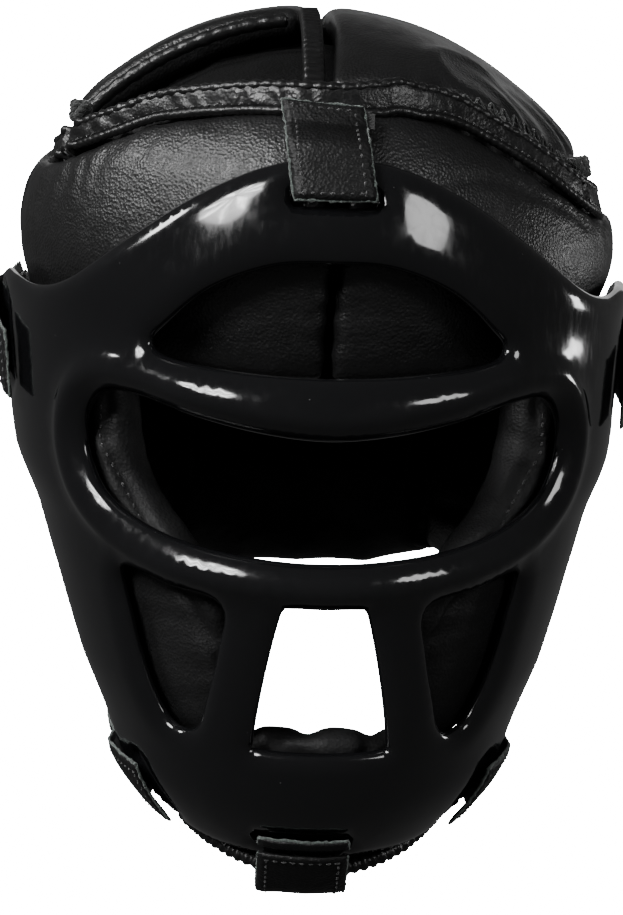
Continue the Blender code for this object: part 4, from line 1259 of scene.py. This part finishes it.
def jaw_tab_surface(degrees, height):
    low = JAW_STRAP_TOP + TAB_LOW
    share = smooth_step((abs(degrees) - JAW_EDGE) / 5.0)
    return cage_at(degrees, height, CAGE_CLEAR + (low - CAGE_CLEAR) * share)


CHIN_TAB_X = -4.0
CHIN_TAB_PATH = ((-80, -3.0), (-98, -3.0), (-110.5, -2.6), (-118, 1.0), (-122.5, 6.5), (-126, 12), (-129, 18),
                 (-132, 25))


def chin_tab_surface(x, place):
    """Inner face of the chin tab; place 0 is its free end, the last place is at the slot."""
    y = hermite([point[0] for point in CHIN_TAB_PATH], place)
    z = hermite([point[1] for point in CHIN_TAB_PATH], place)
    upright = smooth_step((place - 1.5) / 2.0)
    return Vector((x, y + 0.011 * x * x * upright, z))


def make_tab(name, surface, us, vs, body, seed, inset, sewn=None, node=True):
    """Leather tab with stitch rows, and raw fuzzy edges but for the sewn one."""
    def buckle(u, v):
        return 0.35 * noise.noise(Vector((u * 0.12, v * 0.12, seed)))

    mesh = slab_mesh(surface, us, vs, 0.1, TAB_THICKNESS, 1.0, buckle)
    piece = add_mesh(name + "_leather", mesh, LOOKS["tab"])
    settle(piece, body, "tab", *([name] if node else []))
    sides = {"start": [(us[0], v) for v in vs], "end": [(us[-1], v) for v in vs],
             "top": [(u, vs[-1]) for u in us], "bottom": [(u, vs[0]) for u in us]}
    for number, (side, path) in enumerate(sides.items()):
        if side != sewn:
            raw_edge("%s_raw_%s" % (name, side), surface, path, 1.2, 1.3, body, seed + number * 3)
    if inset is None:
        return
    du, dv = inset
    sign_u = 1 if us[-1] > us[0] else -1
    rows = []
    low_u, high_u = us[0] + sign_u * du, us[-1] - sign_u * du
    low_v, high_v = vs[0] + dv, vs[-1] - dv
    rows.append([(low_u, low_v + (high_v - low_v) * k / 30) for k in range(31)])
    rows.append([(high_u, low_v + (high_v - low_v) * k / 30) for k in range(31)])
    rows.append([(low_u + (high_u - low_u) * k / 30, low_v) for k in range(31)])
    rows.append([(low_u + (high_u - low_u) * k / 30, high_v) for k in range(31)])
    places = []
    for row in rows:
        places += stitch_places(surface, row, TAB_THICKNESS + 0.15, 3.2)
    stitches(name + "_stitches", places, body, "tab")


def make_tabs():
    make_tab("top_tab", top_tab_surface, list(np.linspace(-13.5, 13.5, 15)),
             [TOP_TAB_START] + list(np.linspace(250, 276, 30)), "top_tab", 1.0, (3.4, 2.0))
    for side, word in ((1, "right"), (-1, "left")):
        middle = TEMPLE_HEIGHT[side]
        vs = list(np.linspace(middle - 15.5, middle + 15.5, 15))
        us = [side * a for a in np.linspace(TEMPLE_START, TEMPLE_END, 28)]
        make_tab("temple_tab_" + word, temple_flap(middle), us, vs, "temple_tab_" + word, 11.0 + side,
                 (1.6, 3.2), "start")
        us = [side * a for a in np.linspace(TEMPLE_FRONT, TEMPLE_START - 2.8, 12)]
        make_tab("temple_end_" + word, temple_flap(middle), us, vs, "face_cage", 14.0 + side,
                 (1.6, 3.2), "end", False)
        us = [side * a for a in np.linspace(JAW_START, JAW_END, 34)]
        make_tab("jaw_tab_" + word, jaw_tab_surface, us, list(np.linspace(20, 42, 12)),
                 "jaw_tab_" + word, 21.0 + side, (1.6, 3.0))
    us = [CHIN_TAB_X + across for across in np.linspace(-15.5, 15.5, 15)]
    make_tab("chin_tab", chin_tab_surface, us, list(np.linspace(0, 6, 38)), "chin_tab", 31.0,
             (3.2, 0.35), "top")
    make_tab("chin_end", chin_tab_surface, us, list(np.linspace(6.45, 7, 6)), "face_cage", 34.0, None,
             "bottom", False)


def jaw_strap_surface(side):
    """Outer face: beside the cage at the jaw, then over the side pad's lower front corner."""
    def surface(across, height):
        cage_angle = side * math.radians(np.interp(height, (16, 50, 75, 114), (80, 84, 90, 100)))
        pad_angle = side * math.radians(np.interp(height, (60, 94, 106, 116), (68, 77, 87, 97)))
        by_cage = cage_surface(cage_angle * girth(CAGE_LEVELS, height) + across, height)
        by_pad = off_surface(pad_surface, pad_angle * girth(PAD_LEVELS, height) + across, height,
                             1.0 + STRAP_THICKNESS - JAW_STRAP_TOP)
        return by_cage.lerp(by_pad, smooth_step((height - 55) / 40))
    return surface


REAR_HINGE = 130.0
CHIN_STRAP_Y = -50.0
CHIN_STRAP_HINGE = -44.0


def rear_surface(degrees, height):
    return pad_at(degrees, height, 0)


def chin_strap_surface(x, across):
    """Middle of the throat strap, sagging between the jaw straps; its normal points down."""
    height = 24 - 9 * (1 - (x / 48) ** 2)
    return Vector((x, CHIN_STRAP_Y - across, height - 0.25 * across))


def strap_stitches(name, surface, us, vs, lift, body):
    """Edge rows and a crossed box, as a bar of webbing is sewn down."""
    rows = [[(us[0] + (us[1] - us[0]) * k / 40, v) for k in range(41)] for v in vs]
    places = []
    for row in rows:
        places += stitch_places(surface, row, lift, 3.0)
    for low, high in ((vs[0], vs[1]), (vs[1], vs[0])):
        reach = (us[1] - us[0]) * 0.12
        cross = [(us[0] + reach * k / 20, low + (high - low) * k / 20) for k in range(21)]
        places += stitch_places(surface, cross, lift, 3.0)
    stitches(name, places, body, "webbing")


def make_straps():
    for side, word in ((1, "right"), (-1, "left")):
        surface = jaw_strap_surface(side)

        def creased(u, v):
            return 0.35 * noise.noise(Vector((u * 0.15, v * 0.15, side)))

        mesh = slab_mesh(surface, list(np.linspace(-12, 12, 11)), list(np.linspace(16, 116, 48)),
                         JAW_STRAP_TOP - STRAP_THICKNESS, JAW_STRAP_TOP, 1.0, creased)
        made = add_mesh("jaw_strap_%s_leather" % word, mesh, LOOKS["tab"])
        settle(made, "head_guard", "leather", "jaw_strap_" + word)
        places = []
        for across in (-9.6, 9.6):
            row = [(across, height) for height in np.linspace(18, 114, 60)]
            places += stitch_places(surface, row, JAW_STRAP_TOP + 0.15)
        stitches("jaw_strap_%s_stitches" % word, places, "head_guard", "leather")
    bands = {
        "rear_strap": (rear_surface, (REAR_HINGE, 222), (94, 124), TAB_LOW, "rear_strap", 90),
        "rear_strap_anchor": (rear_surface, (114, 128.5), (94, 124), 1.0, "head_guard", 16),
        "chin_strap_short": (chin_strap_surface, (-8, 46), (-11, 11), -3.0, "head_guard", 30),
        "chin_strap_long": (chin_strap_surface, (CHIN_STRAP_HINGE, 24), (-11, 11), TAB_LOW, "chin_strap", 36),
    }
    for name, (surface, us, vs, low, body, count) in bands.items():
        mesh = slab_mesh(surface, list(np.linspace(*us, count)), list(np.linspace(*vs, 13)),
                         low, low + STRAP_THICKNESS)
        made = add_mesh(name + "_webbing", mesh, LOOKS["webbing"])
        settle(made, body, "webbing", name)
        edge = 2.4 if vs[1] > vs[0] else -2.4
        margin = (us[1] - us[0]) * 0.03
        strap_stitches(name + "_stitches", surface, (us[0] + margin, us[1] - margin),
                       (vs[0] + edge, vs[1] - edge), low + STRAP_THICKNESS + 0.1, body)


def finish_patches():
    """The hook and loop patches keep their solids and take a napped finish."""
    for name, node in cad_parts.items():
        if name.endswith("_patch"):
            look = LOOKS["hook"] if "hook" in name else LOOKS["loop"]
            for slot in node.material_slots:
                slot.material = look


# ---------------------------------------------------------------- studio
FLOOR_GLOW = 40.0             # bright enough to show white; neither backdrop lights the object
DOME_GLOW = 60.0
WORLD_FILL = 0.08
STUDIO_REACH = 6.0
PALE = (0.9, 0.9, 0.9, 1)
WHITE = (1, 1, 1, 1)
UMBRELLA_GORES = 8
CAMERA_ELEVATION = 15.0       # degrees
CAMERA_AZIMUTH = -3.0
CAMERA_ROLL = 1.8
CAMERA_DISTANCE = 0.95        # metres
CAMERA_TARGET = (0, -0.008, -0.0213)


def facing_middle(place):
    """Rotation that turns a light's face from place towards the object."""
    return (-Vector(place)).to_track_quat("-Z", "Y").to_euler()


def softbox(name, place, size, power, shape="RECTANGLE"):
    """Area light that faces the object."""
    lamp = bpy.data.lights.new(name, "AREA")
    lamp.shape = shape
    lamp.size, lamp.size_y = size
    lamp.energy = power
    made = bpy.data.objects.new(name, lamp)
    bpy.context.scene.collection.objects.link(made)
    made.location = place
    made.rotation_euler = facing_middle(place)


def bright_surface(name, glow):
    """Pale matt paint that glows."""
    made = bpy.data.materials.new(name)
    made.use_nodes = True
    shader = made.node_tree.nodes["Principled BSDF"]
    shader.inputs["Base Color"].default_value = PALE
    shader.inputs["Roughness"].default_value = 0.9
    shader.inputs["Emission Color"].default_value = WHITE
    shader.inputs["Emission Strength"].default_value = glow
    return made


def studio_piece(name, mesh, paint, glow):
    """Glowing piece of the studio, which isn't part of the object."""
    data = bpy.data.meshes.new(name)
    mesh.to_mesh(data)
    mesh.free()
    made = bpy.data.objects.new(name, data)
    bpy.context.scene.collection.objects.link(made)
    data.materials.append(bright_surface(paint, glow))
    return made


def umbrella(name, place, radius, power, glow):
    """Round photographer's umbrella: an even disc with eight brighter gores."""
    softbox(name, place, (radius * 2, radius * 2), power, "DISK")
    mesh = bmesh.new()
    for gore in range(UMBRELLA_GORES):
        turn = 2 * math.pi * gore / UMBRELLA_GORES + 0.2
        half = 0.17 if gore % 2 else 0.09
        corners = [(0.12, turn), (0.75, turn - half), (1.0, turn), (0.75, turn + half)]
        mesh.faces.new([mesh.verts.new((radius * r * math.cos(t), radius * r * math.sin(t), -0.01))
                        for r, t in corners])
    bmesh.ops.reverse_faces(mesh, faces=mesh.faces[:])
    made = studio_piece(name + "_gores", mesh, name + "_cloth", glow)
    made.location = place
    made.rotation_euler = facing_middle(place)


def make_studio():
    """White floor and dome, a faint fill and the lights that the picture's highlights show."""
    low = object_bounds()[0][2]
    mesh = bmesh.new()
    bmesh.ops.create_grid(mesh, x_segments=8, y_segments=8, size=STUDIO_REACH)
    for vert in mesh.verts:
        vert.co.z = low - 0.0005
    floor = studio_piece("studio_floor", mesh, "floor_paint", FLOOR_GLOW)
    mesh = bmesh.new()
    bmesh.ops.create_icosphere(mesh, subdivisions=4, radius=STUDIO_REACH)
    dome = studio_piece("studio_dome", mesh, "dome_paint", DOME_GLOW)
    for backdrop in (floor, dome):
        backdrop.visible_diffuse = False
        backdrop.visible_glossy = False
    dome.visible_shadow = False
    world = bpy.data.worlds.new("studio_fill")
    world.use_nodes = True
    world.node_tree.nodes["Background"].inputs["Color"].default_value = WHITE
    world.node_tree.nodes["Background"].inputs["Strength"].default_value = WORLD_FILL
    bpy.context.scene.world = world
    umbrella("key_left", (-0.97, -0.97, 1.07), 0.34, 17, 60.0)
    umbrella("key_right", (0.90, -1.03, 0.76), 0.22, 5, 8.0)
    softbox("forehead_glow", (-1.40, 0.02, 1.0), (0.40, 0.40), 14, "DISK")
    softbox("side_right", (1.35, 0.45, -0.02), (0.2, 0.25), 2.5)
    softbox("back_rim", (0.2, 1.4, 0.25), (1.2, 0.5), 1.5)


def make_camera():
    """Long lens from a little above and left of the front, as the picture was taken."""
    elevation, azimuth = math.radians(CAMERA_ELEVATION), math.radians(CAMERA_AZIMUTH)
    away = Vector((math.sin(azimuth) * math.cos(elevation), -math.cos(azimuth) * math.cos(elevation),
                   math.sin(elevation)))
    data = bpy.data.cameras.new("photo_camera")
    data.sensor_fit = "HORIZONTAL"
    data.sensor_width = 36.0
    data.lens = 139.8
    data.shift_x = 0.0056
    data.clip_end = 50.0
    made = bpy.data.objects.new("photo_camera", data)
    bpy.context.scene.collection.objects.link(made)
    made.matrix_world = (Matrix.Translation(Vector(CAMERA_TARGET) + away * CAMERA_DISTANCE)
                         @ (-away).to_track_quat("-Z", "Y").to_matrix().to_4x4()
                         @ Matrix.Rotation(math.radians(CAMERA_ROLL), 4, "Z"))
    bpy.context.scene.camera = made


# ---------------------------------------------------------------- everything together
make_cage()
make_pads()
inflate_all()
make_cheek_stitches()
make_pad_seams()
make_linings()
make_bindings()
make_laces()
make_crown_lacing()
make_chin_binding()
make_tabs()
make_straps()
finish_patches()
make_studio()
make_camera()
